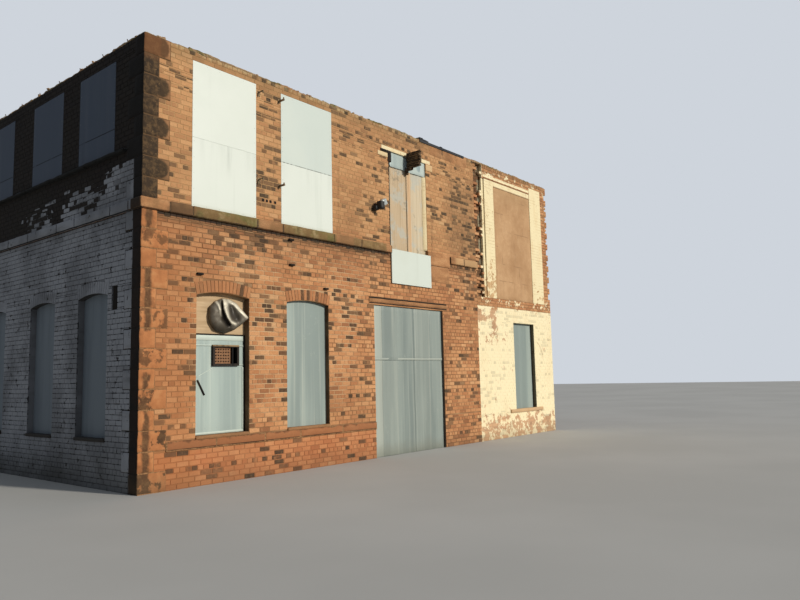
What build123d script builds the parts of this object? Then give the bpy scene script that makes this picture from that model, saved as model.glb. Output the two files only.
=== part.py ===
"""Two-storey brick factory block at a street corner, disused and boarded up. Millimetres, +Z up.

The long front faces -Y and the side wall faces -X. The origin is on the ground, under the middle
of the block. Places along the front are measured from its left corner, and places into the block
from its front face: along() and deep() turn them into model coordinates.
"""
import os

from build123d import *

os.makedirs("parts", exist_ok=True)

# The block
LENGTH = 14300
DEPTH = 9530
HEIGHT = 7800
WALL = 345

# Levels
STRING_BOTTOM = 4720
STRING_TOP = 4900
GROUND_FLOOR = 150
LOADING_SILL = 4000
FIRST_FLOOR_TOP = LOADING_SILL - 20
FIRST_FLOOR = 180
ROOF_DECK = 120
ROOF_FALL_TO_HEAD = 60
FELT = 10
FELT_UPSTAND = 35

# Stone dressings: how far they stand out of the brick face
DRESSING_PROUD = 10
STRING_PROUD = 60
STRING_WEATHERING = 22
PLINTH_BOTTOM = 640
PLINTH_TOP = 800
PLINTH_BED = 112
PLINTH_PROUD = 22
QUOIN_LONG = 500
QUOIN_SHORT = 280
QUOIN_COUNT_LOWER = 14
QUOIN_COUNT_UPPER = 8

# Windows of the front, from its left corner
UPPER_WINDOW_CENTRES = (1675, 3755)
UPPER_WINDOW_WIDTH = 1440
UPPER_WINDOW_HEAD = HEIGHT - 180
GROUND_WINDOW_CENTRES = (1653, 3745)
GROUND_WINDOW_WIDTH = 1160
GROUND_SILL = 850
GROUND_SPRING = 3330
GROUND_RISE = 70
ARCH_DEPTH = 225
SILL_THICKNESS = 50
SILL_PROUD = 30

# Windows of the side wall, from the front face, and of the back wall, evenly spaced
SIDE_WINDOW_CENTRES = (1603, 3618, DEPTH - 3618, DEPTH - 1603)
SIDE_UPPER_WIDTH = 1320
SIDE_GROUND_WIDTH = 1080
SIDE_UPPER_SILL = 5840
SIDE_UPPER_HEAD = HEIGHT - 240
BACK_WINDOWS = 6
BACK_WINDOW_PITCH = LENGTH / BACK_WINDOWS
LEDGE_THICKNESS = 45
LEDGE_PROUD = 85
LEDGE_BED = 110
SLOT_NEAR = 730
SLOT_WIDTH = 200
SLOT_BOTTOM = 3060
SLOT_HEIGHT = 420
SLOT_DEPTH = 150

# Boards and sheets in the windows
BOARD = 20
BOARD_PROUD = 8
SHEET = 20
SEAM_WIDTH = 8
SEAM_DEPTH = 5
UPPER_BOARD_SEAM = 6180
SIDE_BOARD_SEAM = 6300
WINDOW_1_RECESS = 150
WINDOW_2_RECESS = 100
SIDE_SHEET_RECESS = 120
PLY_BOTTOM = 2650

# Vent and cowl in the first ground window
VENT_LEFT = 1500
VENT_WIDTH = 582
VENT_BOTTOM = 2070
VENT_HEIGHT = 385
VENT_FRAME = 42
VENT_DEPTH = 70
VENT_MULLION = 1925
GRILLE_THICKNESS = 6
GRILLE_COLUMNS = 6
GRILLE_ROWS = 5
GRILLE_HOLE = 28
GRILLE_PITCH = 55
COWL_CENTRE = 1770
COWL_LEVEL = 2985
COWL_RADIUS = 310
COWL_REACH = 230
COWL_METAL = 6
BEAK_START = 60
BEAK_LENGTH = 340
BEAK_ROOT = 205
BEAK_TIP = 70
BEAK_OUT = 95

# Loading door of the upper floor, and what is round it
LOADING_LEFT = 6400
LOADING_RIGHT = 7860
LOADING_HEAD = HEIGHT - 575
LINTEL_HEIGHT = 90
LINTEL_LEFT = 6150
LINTEL_RIGHT = 8050
LINTEL_BED = 220
PAD_HEIGHT = 185
PAD_LEFT = 6000
PAD_RIGHT = 8150
THRESHOLD_RIGHT = 8790
THRESHOLD_BOTTOM = 4600
THRESHOLD_TOP = 4930
THRESHOLD_PROUD = 25
LOADING_RECESS = 60
LOADING_BOARD_TOP = LOADING_HEAD - 325
LOADING_BOARD_BOTTOM = 4820
BATTEN_LEFT = 7150
BATTEN_WIDTH = 115
BATTEN_PROUD = 25
FOOT_BOARD_RIGHT = 7930
HOIST_OFF_CENTRE = 5
HOIST_WIDTH = 110
HOIST_REACH = 430
HOIST_BOTTOM = LOADING_HEAD - 365
HOIST_NOSE_BOTTOM = LOADING_HEAD - 300
HOIST_TOP = LOADING_HEAD + 95
HOIST_BELLY_SHARE = 0.42
HOIST_BELLY_RISE = 0.85

# Yard door
YARD_LEFT = 5780
YARD_RIGHT = 8420
YARD_HEAD = LOADING_SILL - 550
YARD_LINTEL_HEIGHT = 170
YARD_LINTEL_BEARING = 180
YARD_RECESS = 50
YARD_SHEET = 30
YARD_SEAM = 2220
YARD_LAP = 5

# Right-hand bay
BAY_LEFT = 10060
BAND_BOTTOM = 3710
BAND_TOP = 3960
BAY_CORE = 60
CHASE_WIDTH = 430
CHASE_DEPTH = 110
STRIP_RIGHT = BAY_LEFT + 540
STRIP_FACE = 20
PILASTER_LEFT = BAY_LEFT + 1025
PILASTER_RIGHT = LENGTH - 1100
TOOTHED_EDGE = LENGTH - 400
TOOTH_DEPTH = 110
TOOTH_HEIGHT = 181
PANEL_FACE = 30
BEAM_HEIGHT = 150
BEAM_TOP = HEIGHT - 400
BEAM_BOTTOM = BEAM_TOP - BEAM_HEIGHT
PILASTER_TOP = BEAM_TOP + 220
BAY_WINDOW_WIDTH = 1208
BAY_WINDOW_RIGHT = LENGTH - 1145
BAY_WINDOW_LEFT = BAY_WINDOW_RIGHT - BAY_WINDOW_WIDTH
BAY_WINDOW_SILL = 775
BAY_WINDOW_HEAD = 3300
BAY_SHEET_RECESS = 120
BAY_SILL_HEIGHT = 90
BAY_SILL_OVERHANG = 340
BAY_SILL_PROUD = 40

# Ironwork
IRON_LEVELS = (STRING_TOP + 770, UPPER_WINDOW_HEAD - 180)
IRON_PLATE = 8
PINTLE_LEFT = 2960
PINTLE_PLATE_WIDTH = 60
PINTLE_PLATE_HEIGHT = 90
PINTLE_ARM = 32
PINTLE_REACH = 150
PINTLE_PIN_RADIUS = 14
PINTLE_PIN_LENGTH = 45
BRACKET_LEFT = 2430
BRACKET_PLATE_WIDTH = 70
BRACKET_PLATE_HEIGHT = 120
BRACKET_ARM = 20
BRACKET_REACH = 140
BRACKET_DROP = 50
BRACKET_ARM_ABOVE = 30
SPIKE_PITCH = 875
SPIKE_FIRST = 260
SPIKE_RADIUS = 8
SPIKE_LENGTH = 90
SPIKE_LEAN = 35
SPIKE_INSET = 40
LAMP_CENTRE = 5890
LAMP_LEVEL = 5760
LAMP_PLATE = 12
LAMP_PLATE_WIDTH = 100
LAMP_PLATE_HEIGHT = 140
LAMP_ARM = 30
LAMP_ARM_REACH = 110
LAMP_WIDTH = 135
LAMP_TOP_REACH = 225
LAMP_BOTTOM_REACH = 250
LAMP_BACK_TOP = 45
LAMP_BACK_BOTTOM = 95
LAMP_FRONT_TOP = 95
LAMP_FRONT_BOTTOM = 50
FLASHING_LEFT = 7640
FLASHING_RIGHT = BAY_LEFT - 460
FLASHING = 12
FLASHING_LIP = 50
FLASHING_OVERHANG = 28

LEFT = -LENGTH / 2
RIGHT = LENGTH / 2
FRONT = -DEPTH / 2
BACK = DEPTH / 2
LOADING_CENTRE = (LOADING_LEFT + LOADING_RIGHT) / 2
BACK_WINDOW_CENTRES = tuple(BACK_WINDOW_PITCH * (i + 0.5) for i in range(BACK_WINDOWS))
ROOF_DECK_TOP = HEIGHT - ROOF_FALL_TO_HEAD
ARCH_CROWN = GROUND_SPRING + GROUND_RISE

FRONT_FACE = Plane.XZ.offset(-FRONT)
BACK_FACE = Plane.XZ.offset(-BACK)
LEFT_FACE = Plane.YZ.offset(LEFT)


def along(x):
    """Model X of a place that is x from the front's left corner."""
    return LEFT + x


def deep(y):
    """Model Y of a place that is y behind the front face."""
    return FRONT + y


def block(x0, x1, y0, y1, z0, z1, mode=Mode.ADD):
    """A plain block between two corners, in the part that is being built."""
    with Locations(((x0 + x1) / 2, (y0 + y1) / 2, (z0 + z1) / 2)):
        Box(x1 - x0, y1 - y0, z1 - z0, mode=mode)


def rectangle(x0, x1, z0, z1, mode=Mode.ADD):
    """A rectangle between two corners, in the sketch that is being drawn."""
    with Locations(((x0 + x1) / 2, (z0 + z1) / 2)):
        Rectangle(x1 - x0, z1 - z0, mode=mode)


def arched_outline(centre, width, bottom):
    """Outline of a ground window from bottom up to the underside of its brick arch."""
    half = width / 2
    with BuildSketch(mode=Mode.PRIVATE) as outline:
        with BuildLine():
            Polyline(
                (centre - half, GROUND_SPRING),
                (centre - half, bottom),
                (centre + half, bottom),
                (centre + half, GROUND_SPRING),
            )
            ThreePointArc(
                (centre + half, GROUND_SPRING),
                (centre, ARCH_CROWN),
                (centre - half, GROUND_SPRING),
            )
        make_face()
    return outline.sketch


def arch_outline(centre, width):
    """Outline of the ring of bricks on end over a ground window, with radial ends."""
    half = width / 2
    radius = (half**2 + GROUND_RISE**2) / (2 * GROUND_RISE)
    hub = ARCH_CROWN - radius
    grow = (radius + ARCH_DEPTH) / radius
    outer_half = half * grow
    outer_spring = hub + (GROUND_SPRING - hub) * grow
    with BuildSketch(mode=Mode.PRIVATE) as outline:
        with BuildLine():
            ThreePointArc(
                (centre - half, GROUND_SPRING),
                (centre, ARCH_CROWN),
                (centre + half, GROUND_SPRING),
            )
            Line((centre + half, GROUND_SPRING), (centre + outer_half, outer_spring))
            ThreePointArc(
                (centre + outer_half, outer_spring),
                (centre, ARCH_CROWN + ARCH_DEPTH),
                (centre - outer_half, outer_spring),
            )
            Line((centre - outer_half, outer_spring), (centre - half, GROUND_SPRING))
        make_face()
    return outline.sketch


def cut_ground_windows(centres, width):
    """Takes the arched windows, their arches and their sills out of the sketch of a wall."""
    for centre in centres:
        add(arched_outline(centre, width, GROUND_SILL - SILL_THICKNESS), mode=Mode.SUBTRACT)
        add(arch_outline(centre, width), mode=Mode.SUBTRACT)


def quoin_blocks(mode=Mode.ADD):
    """Corner stones of both left corners, long and short by turns on each face."""
    lower = (0, STRING_BOTTOM, QUOIN_COUNT_LOWER, 0)
    upper = (STRING_TOP, HEIGHT, QUOIN_COUNT_UPPER, 1)
    for bottom, top, courses, first_long in (lower, upper):
        rise = (top - bottom) / courses
        for course in range(courses):
            front = QUOIN_LONG if course % 2 == first_long else QUOIN_SHORT
            side = QUOIN_LONG + QUOIN_SHORT - front
            x0, x1 = LEFT - DRESSING_PROUD, LEFT + front
            z0 = bottom + course * rise
            block(x0, x1, FRONT - DRESSING_PROUD, FRONT + side, z0, z0 + rise, mode)
            block(x0, x1, BACK - side, BACK + DRESSING_PROUD, z0, z0 + rise, mode)


def finish(part, name):
    """Labels a finished piece and writes it."""
    part.part.label = name
    export_step(part.part, f"parts/{name}.step")


# Brick walls of the ground storey
with BuildPart() as front_wall_lower:
    with BuildSketch(FRONT_FACE):
        rectangle(along(0), along(BAY_LEFT), 0, STRING_BOTTOM)
        cut_ground_windows([along(c) for c in GROUND_WINDOW_CENTRES], GROUND_WINDOW_WIDTH)
        rectangle(along(YARD_LEFT), along(YARD_RIGHT), 0, YARD_HEAD, Mode.SUBTRACT)
        rectangle(
            along(YARD_LEFT - YARD_LINTEL_BEARING),
            along(YARD_RIGHT + YARD_LINTEL_BEARING),
            YARD_HEAD,
            YARD_HEAD + YARD_LINTEL_HEIGHT,
            Mode.SUBTRACT,
        )
        rectangle(along(LOADING_LEFT), along(LOADING_RIGHT), LOADING_SILL, STRING_BOTTOM, Mode.SUBTRACT)
        rectangle(
            along(LOADING_RIGHT), along(THRESHOLD_RIGHT), THRESHOLD_BOTTOM, STRING_BOTTOM, Mode.SUBTRACT
        )
    extrude(amount=-WALL)
    block(
        along(QUOIN_LONG),
        along(YARD_LEFT),
        deep(0),
        deep(PLINTH_BED),
        PLINTH_BOTTOM,
        PLINTH_TOP,
        Mode.SUBTRACT,
    )
    quoin_blocks(Mode.SUBTRACT)
finish(front_wall_lower, "front_wall_lower")

with BuildPart() as left_wall_lower:
    with BuildSketch(LEFT_FACE):
        rectangle(deep(WALL), deep(DEPTH - WALL), 0, STRING_BOTTOM)
        cut_ground_windows([deep(c) for c in SIDE_WINDOW_CENTRES], SIDE_GROUND_WIDTH)
    extrude(amount=WALL)
    block(
        LEFT,
        LEFT + SLOT_DEPTH,
        deep(SLOT_NEAR),
        deep(SLOT_NEAR + SLOT_WIDTH),
        SLOT_BOTTOM,
        SLOT_BOTTOM + SLOT_HEIGHT,
        Mode.SUBTRACT,
    )
    quoin_blocks(Mode.SUBTRACT)
finish(left_wall_lower, "left_wall_lower")

with BuildPart() as back_wall_lower:
    with BuildSketch(BACK_FACE):
        rectangle(along(0), along(LENGTH), 0, STRING_BOTTOM)
        cut_ground_windows([along(c) for c in BACK_WINDOW_CENTRES], SIDE_GROUND_WIDTH)
    extrude(amount=WALL)
    quoin_blocks(Mode.SUBTRACT)
finish(back_wall_lower, "back_wall_lower")

# Brick walls of the upper storey, which stand on the string course
with BuildPart() as front_wall_upper:
    with BuildSketch(FRONT_FACE):
        rectangle(along(0), along(BAY_LEFT), STRING_TOP, HEIGHT)
        for centre in UPPER_WINDOW_CENTRES:
            left = along(centre - UPPER_WINDOW_WIDTH / 2)
            rectangle(left, left + UPPER_WINDOW_WIDTH, STRING_TOP, UPPER_WINDOW_HEAD, Mode.SUBTRACT)
        rectangle(along(LOADING_LEFT), along(LOADING_RIGHT), STRING_TOP, LOADING_HEAD, Mode.SUBTRACT)
        rectangle(along(LOADING_RIGHT), along(THRESHOLD_RIGHT), STRING_TOP, THRESHOLD_TOP, Mode.SUBTRACT)
    extrude(amount=-WALL)
    block(
        along(LINTEL_LEFT),
        along(LINTEL_RIGHT),
        deep(0),
        deep(LINTEL_BED),
        LOADING_HEAD,
        LOADING_HEAD + LINTEL_HEIGHT,
        Mode.SUBTRACT,
    )
    block(
        along(PAD_LEFT),
        along(PAD_RIGHT),
        deep(0),
        deep(LINTEL_BED),
        LOADING_HEAD - PAD_HEIGHT,
        LOADING_HEAD,
        Mode.SUBTRACT,
    )
    quoin_blocks(Mode.SUBTRACT)
finish(front_wall_upper, "front_wall_upper")

with BuildPart() as left_wall_upper:
    with BuildSketch(LEFT_FACE):
        rectangle(deep(WALL), deep(DEPTH - WALL), STRING_TOP, HEIGHT)
        for centre in SIDE_WINDOW_CENTRES:
            near = deep(centre - SIDE_UPPER_WIDTH / 2)
            rectangle(near, near + SIDE_UPPER_WIDTH, SIDE_UPPER_SILL, SIDE_UPPER_HEAD, Mode.SUBTRACT)
    extrude(amount=WALL)
    block(
        LEFT,
        LEFT + LEDGE_BED,
        deep(QUOIN_LONG),
        deep(DEPTH - QUOIN_LONG),
        SIDE_UPPER_SILL - LEDGE_THICKNESS,
        SIDE_UPPER_SILL,
        Mode.SUBTRACT,
    )
    quoin_blocks(Mode.SUBTRACT)
finish(left_wall_upper, "left_wall_upper")

with BuildPart() as back_wall_upper:
    with BuildSketch(BACK_FACE):
        rectangle(along(0), along(LENGTH), STRING_TOP, HEIGHT)
        for centre in BACK_WINDOW_CENTRES:
            left = along(centre - SIDE_UPPER_WIDTH / 2)
            rectangle(left, left + SIDE_UPPER_WIDTH, SIDE_UPPER_SILL, SIDE_UPPER_HEAD, Mode.SUBTRACT)
    extrude(amount=WALL)
    quoin_blocks(Mode.SUBTRACT)
finish(back_wall_upper, "back_wall_upper")

# Plain wall where the next building in the row stood
with BuildPart() as party_wall:
    block(RIGHT - WALL, RIGHT, deep(WALL), deep(DEPTH - WALL), 0, HEIGHT)
finish(party_wall, "party_wall")

# Right-hand bay of the front: painted ground storey, rough band, and the blocked-up bay over it
with BuildPart() as bay_wall_lower:
    with BuildSketch(FRONT_FACE):
        rectangle(along(BAY_LEFT), along(LENGTH), 0, BAND_BOTTOM)
        rectangle(
            along(BAY_WINDOW_LEFT), along(BAY_WINDOW_RIGHT), BAY_WINDOW_SILL, BAY_WINDOW_HEAD, Mode.SUBTRACT
        )
    extrude(amount=-WALL)
    block(
        along(BAY_WINDOW_LEFT - BAY_SILL_OVERHANG),
        along(BAY_WINDOW_RIGHT + BAY_SILL_OVERHANG),
        deep(0),
        deep(BAY_SHEET_RECESS),
        BAY_WINDOW_SILL - BAY_SILL_HEIGHT,
        BAY_WINDOW_SILL,
        Mode.SUBTRACT,
    )
finish(bay_wall_lower, "bay_wall_lower")

with BuildPart() as bay_brick_band:
    block(along(BAY_LEFT), along(LENGTH), deep(0), deep(WALL), BAND_BOTTOM, BAND_TOP)
finish(bay_brick_band, "bay_brick_band")

with BuildPart() as bay_wall_upper:
    with BuildSketch(Plane.XY.offset(BAND_TOP)):
        with BuildLine():
            Polyline(
                (along(BAY_LEFT), deep(WALL)),
                (along(BAY_LEFT), deep(CHASE_DEPTH)),
                (along(BAY_LEFT + CHASE_WIDTH), deep(CHASE_DEPTH)),
                (along(BAY_LEFT + CHASE_WIDTH), deep(BAY_CORE)),
                (along(TOOTHED_EDGE), deep(BAY_CORE)),
                (along(TOOTHED_EDGE), deep(0)),
                (along(LENGTH), deep(0)),
                (along(LENGTH), deep(WALL)),
                close=True,
            )
        make_face()
    extrude(amount=HEIGHT - BAND_TOP)
    block(
        along(BAY_LEFT + CHASE_WIDTH), along(TOOTHED_EDGE), deep(0), deep(BAY_CORE), BEAM_TOP, HEIGHT
    )
    block(
        along(PILASTER_RIGHT),
        along(TOOTHED_EDGE),
        deep(0),
        deep(BAY_CORE),
        BEAM_TOP,
        PILASTER_TOP,
        Mode.SUBTRACT,
    )
    for tooth in range(int((HEIGHT - BAND_TOP) / (2 * TOOTH_HEIGHT))):
        notch = BAND_TOP + (2 * tooth + 1) * TOOTH_HEIGHT
        block(
            along(LENGTH - TOOTH_DEPTH),
            along(LENGTH),
            deep(0),
            deep(WALL),
            notch,
            notch + TOOTH_HEIGHT,
            Mode.SUBTRACT,
        )
finish(bay_wall_upper, "bay_wall_upper")

with BuildPart() as bay_pilasters:
    with BuildSketch(Plane.XY.offset(BAND_TOP)):
        with BuildLine():
            Polyline(
                (along(BAY_LEFT + CHASE_WIDTH), deep(BAY_CORE)),
                (along(BAY_LEFT + CHASE_WIDTH), deep(STRIP_FACE)),
                (along(STRIP_RIGHT), deep(STRIP_FACE)),
                (along(STRIP_RIGHT), deep(-DRESSING_PROUD)),
                (along(PILASTER_LEFT), deep(-DRESSING_PROUD)),
                (along(PILASTER_LEFT), deep(BAY_CORE)),
                close=True,
            )
        make_face()
    extrude(amount=BEAM_TOP - BAND_TOP)
    block(
        along(PILASTER_RIGHT),
        along(TOOTHED_EDGE),
        deep(-DRESSING_PROUD),
        deep(BAY_CORE),
        BAND_TOP,
        PILASTER_TOP,
    )
finish(bay_pilasters, "bay_pilasters")

with BuildPart() as bay_panel:
    block(
        along(PILASTER_LEFT), along(PILASTER_RIGHT), deep(PANEL_FACE), deep(BAY_CORE), BAND_TOP, BEAM_BOTTOM
    )
finish(bay_panel, "bay_panel")

with BuildPart() as bay_beam:
    block(
        along(PILASTER_LEFT),
        along(PILASTER_RIGHT),
        deep(-DRESSING_PROUD),
        deep(BAY_CORE),
        BEAM_BOTTOM,
        BEAM_TOP,
    )
finish(bay_beam, "bay_beam")

with BuildPart() as bay_window_sheet:
    block(
        along(BAY_WINDOW_LEFT),
        along(BAY_WINDOW_RIGHT),
        deep(BAY_SHEET_RECESS),
        deep(BAY_SHEET_RECESS + SHEET),
        BAY_WINDOW_SILL,
        BAY_WINDOW_HEAD,
    )
finish(bay_window_sheet, "bay_window_sheet")

# Floors and roof
with BuildPart() as ground_floor:
    block(LEFT + WALL, RIGHT - WALL, FRONT + WALL, BACK - WALL, 0, GROUND_FLOOR)
finish(ground_floor, "ground_floor")

with BuildPart() as first_floor:
    block(
        LEFT + WALL,
        RIGHT - WALL,
        FRONT + WALL,
        BACK - WALL,
        FIRST_FLOOR_TOP - FIRST_FLOOR,
        FIRST_FLOOR_TOP,
    )
finish(first_floor, "first_floor")

with BuildPart() as roof_deck:
    block(
        LEFT + WALL,
        RIGHT - WALL,
        FRONT + WALL,
        BACK - WALL,
        ROOF_DECK_TOP - ROOF_DECK,
        ROOF_DECK_TOP,
    )
finish(roof_deck, "roof_deck")

with BuildPart() as roof_felt:
    block(
        LEFT + WALL,
        RIGHT - WALL,
        FRONT + WALL,
        BACK - WALL,
        ROOF_DECK_TOP,
        ROOF_DECK_TOP + FELT + FELT_UPSTAND,
    )
    block(
        LEFT + WALL + FELT,
        RIGHT - WALL - FELT,
        FRONT + WALL + FELT,
        BACK - WALL - FELT,
        ROOF_DECK_TOP + FELT,
        ROOF_DECK_TOP + FELT + FELT_UPSTAND,
        Mode.SUBTRACT,
    )
finish(roof_felt, "roof_felt")

with BuildPart() as wall_head_flashing:
    with BuildSketch(Plane.YZ.offset(along(FLASHING_LEFT))):
        rectangle(deep(-FLASHING_OVERHANG), deep(WALL), HEIGHT, HEIGHT + FLASHING)
        rectangle(
            deep(-FLASHING_OVERHANG), deep(FLASHING - FLASHING_OVERHANG), HEIGHT - FLASHING_LIP, HEIGHT
        )
    extrude(amount=FLASHING_RIGHT - FLASHING_LEFT)
finish(wall_head_flashing, "wall_head_flashing")

# String course: one band of stone right through the walls, with a weathered top edge
with BuildPart() as string_course_front:
    for x0, x1 in ((-STRING_PROUD, LOADING_LEFT), (THRESHOLD_RIGHT, BAY_LEFT)):
        block(along(x0), along(x1), deep(-STRING_PROUD), deep(WALL), STRING_BOTTOM, STRING_TOP)
    top_edges = string_course_front.edges().group_by(Axis.Z)[-1]
    outer_edges = top_edges.filter_by(Axis.X).group_by(Axis.Y)[0]
    return_edge = top_edges.filter_by(Axis.Y).sort_by(Axis.X)[0]
    chamfer([*outer_edges, return_edge], STRING_WEATHERING)
finish(string_course_front, "string_course_front")

with BuildPart() as string_course_left:
    block(LEFT - STRING_PROUD, LEFT + WALL, deep(WALL), deep(DEPTH - WALL), STRING_BOTTOM, STRING_TOP)
    top_edges = string_course_left.edges().group_by(Axis.Z)[-1]
    chamfer(top_edges.filter_by(Axis.Y).sort_by(Axis.X)[0], STRING_WEATHERING)
finish(string_course_left, "string_course_left")

with BuildPart() as string_course_back:
    block(LEFT - STRING_PROUD, RIGHT, deep(DEPTH - WALL), BACK + STRING_PROUD, STRING_BOTTOM, STRING_TOP)
    top_edges = string_course_back.edges().group_by(Axis.Z)[-1]
    outer_edge = top_edges.filter_by(Axis.X).sort_by(Axis.Y)[-1]
    return_edge = top_edges.filter_by(Axis.Y).sort_by(Axis.X)[0]
    chamfer([outer_edge, return_edge], STRING_WEATHERING)
finish(string_course_back, "string_course_back")

with BuildPart() as corner_quoins:
    quoin_blocks()
finish(corner_quoins, "corner_quoins")

with BuildPart() as plinth_course:
    block(
        along(QUOIN_LONG), along(YARD_LEFT), deep(-PLINTH_PROUD), deep(PLINTH_BED), PLINTH_BOTTOM, PLINTH_TOP
    )
    top_edges = plinth_course.edges().group_by(Axis.Z)[-1]
    chamfer(top_edges.filter_by(Axis.X).sort_by(Axis.Y)[0], PLINTH_PROUD / 2)
finish(plinth_course, "plinth_course")

# Brick arches over the ground windows
with BuildPart() as window_arches:
    with BuildSketch(FRONT_FACE):
        for centre in GROUND_WINDOW_CENTRES:
            add(arch_outline(along(centre), GROUND_WINDOW_WIDTH))
    extrude(amount=-WALL)
    with BuildSketch(LEFT_FACE):
        for centre in SIDE_WINDOW_CENTRES:
            add(arch_outline(deep(centre), SIDE_GROUND_WIDTH))
    extrude(amount=WALL)
    with BuildSketch(BACK_FACE):
        for centre in BACK_WINDOW_CENTRES:
            add(arch_outline(along(centre), SIDE_GROUND_WIDTH))
    extrude(amount=WALL)
finish(window_arches, "window_arches")

with BuildPart() as window_sills:
    for centre in GROUND_WINDOW_CENTRES:
        block(
            along(centre - GROUND_WINDOW_WIDTH / 2),
            along(centre + GROUND_WINDOW_WIDTH / 2),
            deep(-SILL_PROUD),
            deep(WALL),
            GROUND_SILL - SILL_THICKNESS,
            GROUND_SILL,
        )
    for centre in SIDE_WINDOW_CENTRES:
        block(
            LEFT - SILL_PROUD,
            LEFT + WALL,
            deep(centre - SIDE_GROUND_WIDTH / 2),
            deep(centre + SIDE_GROUND_WIDTH / 2),
            GROUND_SILL - SILL_THICKNESS,
            GROUND_SILL,
        )
    for centre in BACK_WINDOW_CENTRES:
        block(
            along(centre - SIDE_GROUND_WIDTH / 2),
            along(centre + SIDE_GROUND_WIDTH / 2),
            BACK - WALL,
            BACK + SILL_PROUD,
            GROUND_SILL - SILL_THICKNESS,
            GROUND_SILL,
        )
    block(
        along(BAY_WINDOW_LEFT - BAY_SILL_OVERHANG),
        along(BAY_WINDOW_RIGHT + BAY_SILL_OVERHANG),
        deep(-BAY_SILL_PROUD),
        deep(BAY_SHEET_RECESS),
        BAY_WINDOW_SILL - BAY_SILL_HEIGHT,
        BAY_WINDOW_SILL,
    )
finish(window_sills, "window_sills")

with BuildPart() as left_sill_ledge:
    block(
        LEFT - LEDGE_PROUD,
        LEFT + LEDGE_BED,
        deep(QUOIN_LONG),
        deep(DEPTH - QUOIN_LONG),
        SIDE_UPPER_SILL - LEDGE_THICKNESS,
        SIDE_UPPER_SILL,
    )
finish(left_sill_ledge, "left_sill_ledge")

# Boards that close the windows, each with a seam between its two sheets
with BuildPart() as front_upper_boards:
    for centre in UPPER_WINDOW_CENTRES:
        left = along(centre - UPPER_WINDOW_WIDTH / 2)
        right = left + UPPER_WINDOW_WIDTH
        block(left, right, deep(-BOARD_PROUD), deep(BOARD - BOARD_PROUD), STRING_TOP, UPPER_WINDOW_HEAD)
        block(
            left,
            right,
            deep(-BOARD_PROUD),
            deep(SEAM_DEPTH - BOARD_PROUD),
            UPPER_BOARD_SEAM,
            UPPER_BOARD_SEAM + SEAM_WIDTH,
            Mode.SUBTRACT,
        )
finish(front_upper_boards, "front_upper_boards")

with BuildPart() as left_window_boards:
    for centre in SIDE_WINDOW_CENTRES:
        near = deep(centre - SIDE_UPPER_WIDTH / 2)
        far = near + SIDE_UPPER_WIDTH
        block(
            LEFT - BOARD_PROUD, LEFT + BOARD - BOARD_PROUD, near, far, SIDE_UPPER_SILL, SIDE_UPPER_HEAD
        )
        block(
            LEFT - BOARD_PROUD,
            LEFT + SEAM_DEPTH - BOARD_PROUD,
            near,
            far,
            SIDE_BOARD_SEAM,
            SIDE_BOARD_SEAM + SEAM_WIDTH,
            Mode.SUBTRACT,
        )
    with BuildSketch(LEFT_FACE.offset(SIDE_SHEET_RECESS)):
        for centre in SIDE_WINDOW_CENTRES:
            add(arched_outline(deep(centre), SIDE_GROUND_WIDTH, GROUND_SILL))
    extrude(amount=SHEET)
finish(left_window_boards, "left_window_boards")

with BuildPart() as back_window_boards:
    for centre in BACK_WINDOW_CENTRES:
        left = along(centre - SIDE_UPPER_WIDTH / 2)
        right = left + SIDE_UPPER_WIDTH
        block(
            left, right, BACK - BOARD + BOARD_PROUD, BACK + BOARD_PROUD, SIDE_UPPER_SILL, SIDE_UPPER_HEAD
        )
        block(
            left,
            right,
            BACK + BOARD_PROUD - SEAM_DEPTH,
            BACK + BOARD_PROUD,
            SIDE_BOARD_SEAM,
            SIDE_BOARD_SEAM + SEAM_WIDTH,
            Mode.SUBTRACT,
        )
    with BuildSketch(BACK_FACE.offset(SIDE_SHEET_RECESS)):
        for centre in BACK_WINDOW_CENTRES:
            add(arched_outline(along(centre), SIDE_GROUND_WIDTH, GROUND_SILL))
    extrude(amount=SHEET)
finish(back_window_boards, "back_window_boards")

# First ground window: plywood over a steel sheet, with a vent in the sheet and a cowl on the plywood
with BuildPart() as window_1_ply:
    with BuildSketch(FRONT_FACE.offset(-WINDOW_1_RECESS)):
        add(arched_outline(along(GROUND_WINDOW_CENTRES[0]), GROUND_WINDOW_WIDTH, PLY_BOTTOM))
    extrude(amount=-SHEET)
finish(window_1_ply, "window_1_ply")

with BuildPart() as window_1_sheet:
    with BuildSketch(FRONT_FACE.offset(-WINDOW_1_RECESS)):
        rectangle(
            along(GROUND_WINDOW_CENTRES[0] - GROUND_WINDOW_WIDTH / 2),
            along(GROUND_WINDOW_CENTRES[0] + GROUND_WINDOW_WIDTH / 2),
            GROUND_SILL,
            PLY_BOTTOM,
        )
        rectangle(
            along(VENT_LEFT),
            along(VENT_LEFT + VENT_WIDTH),
            VENT_BOTTOM,
            VENT_BOTTOM + VENT_HEIGHT,
            Mode.SUBTRACT,
        )
    extrude(amount=-SHEET)
finish(window_1_sheet, "window_1_sheet")

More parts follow.
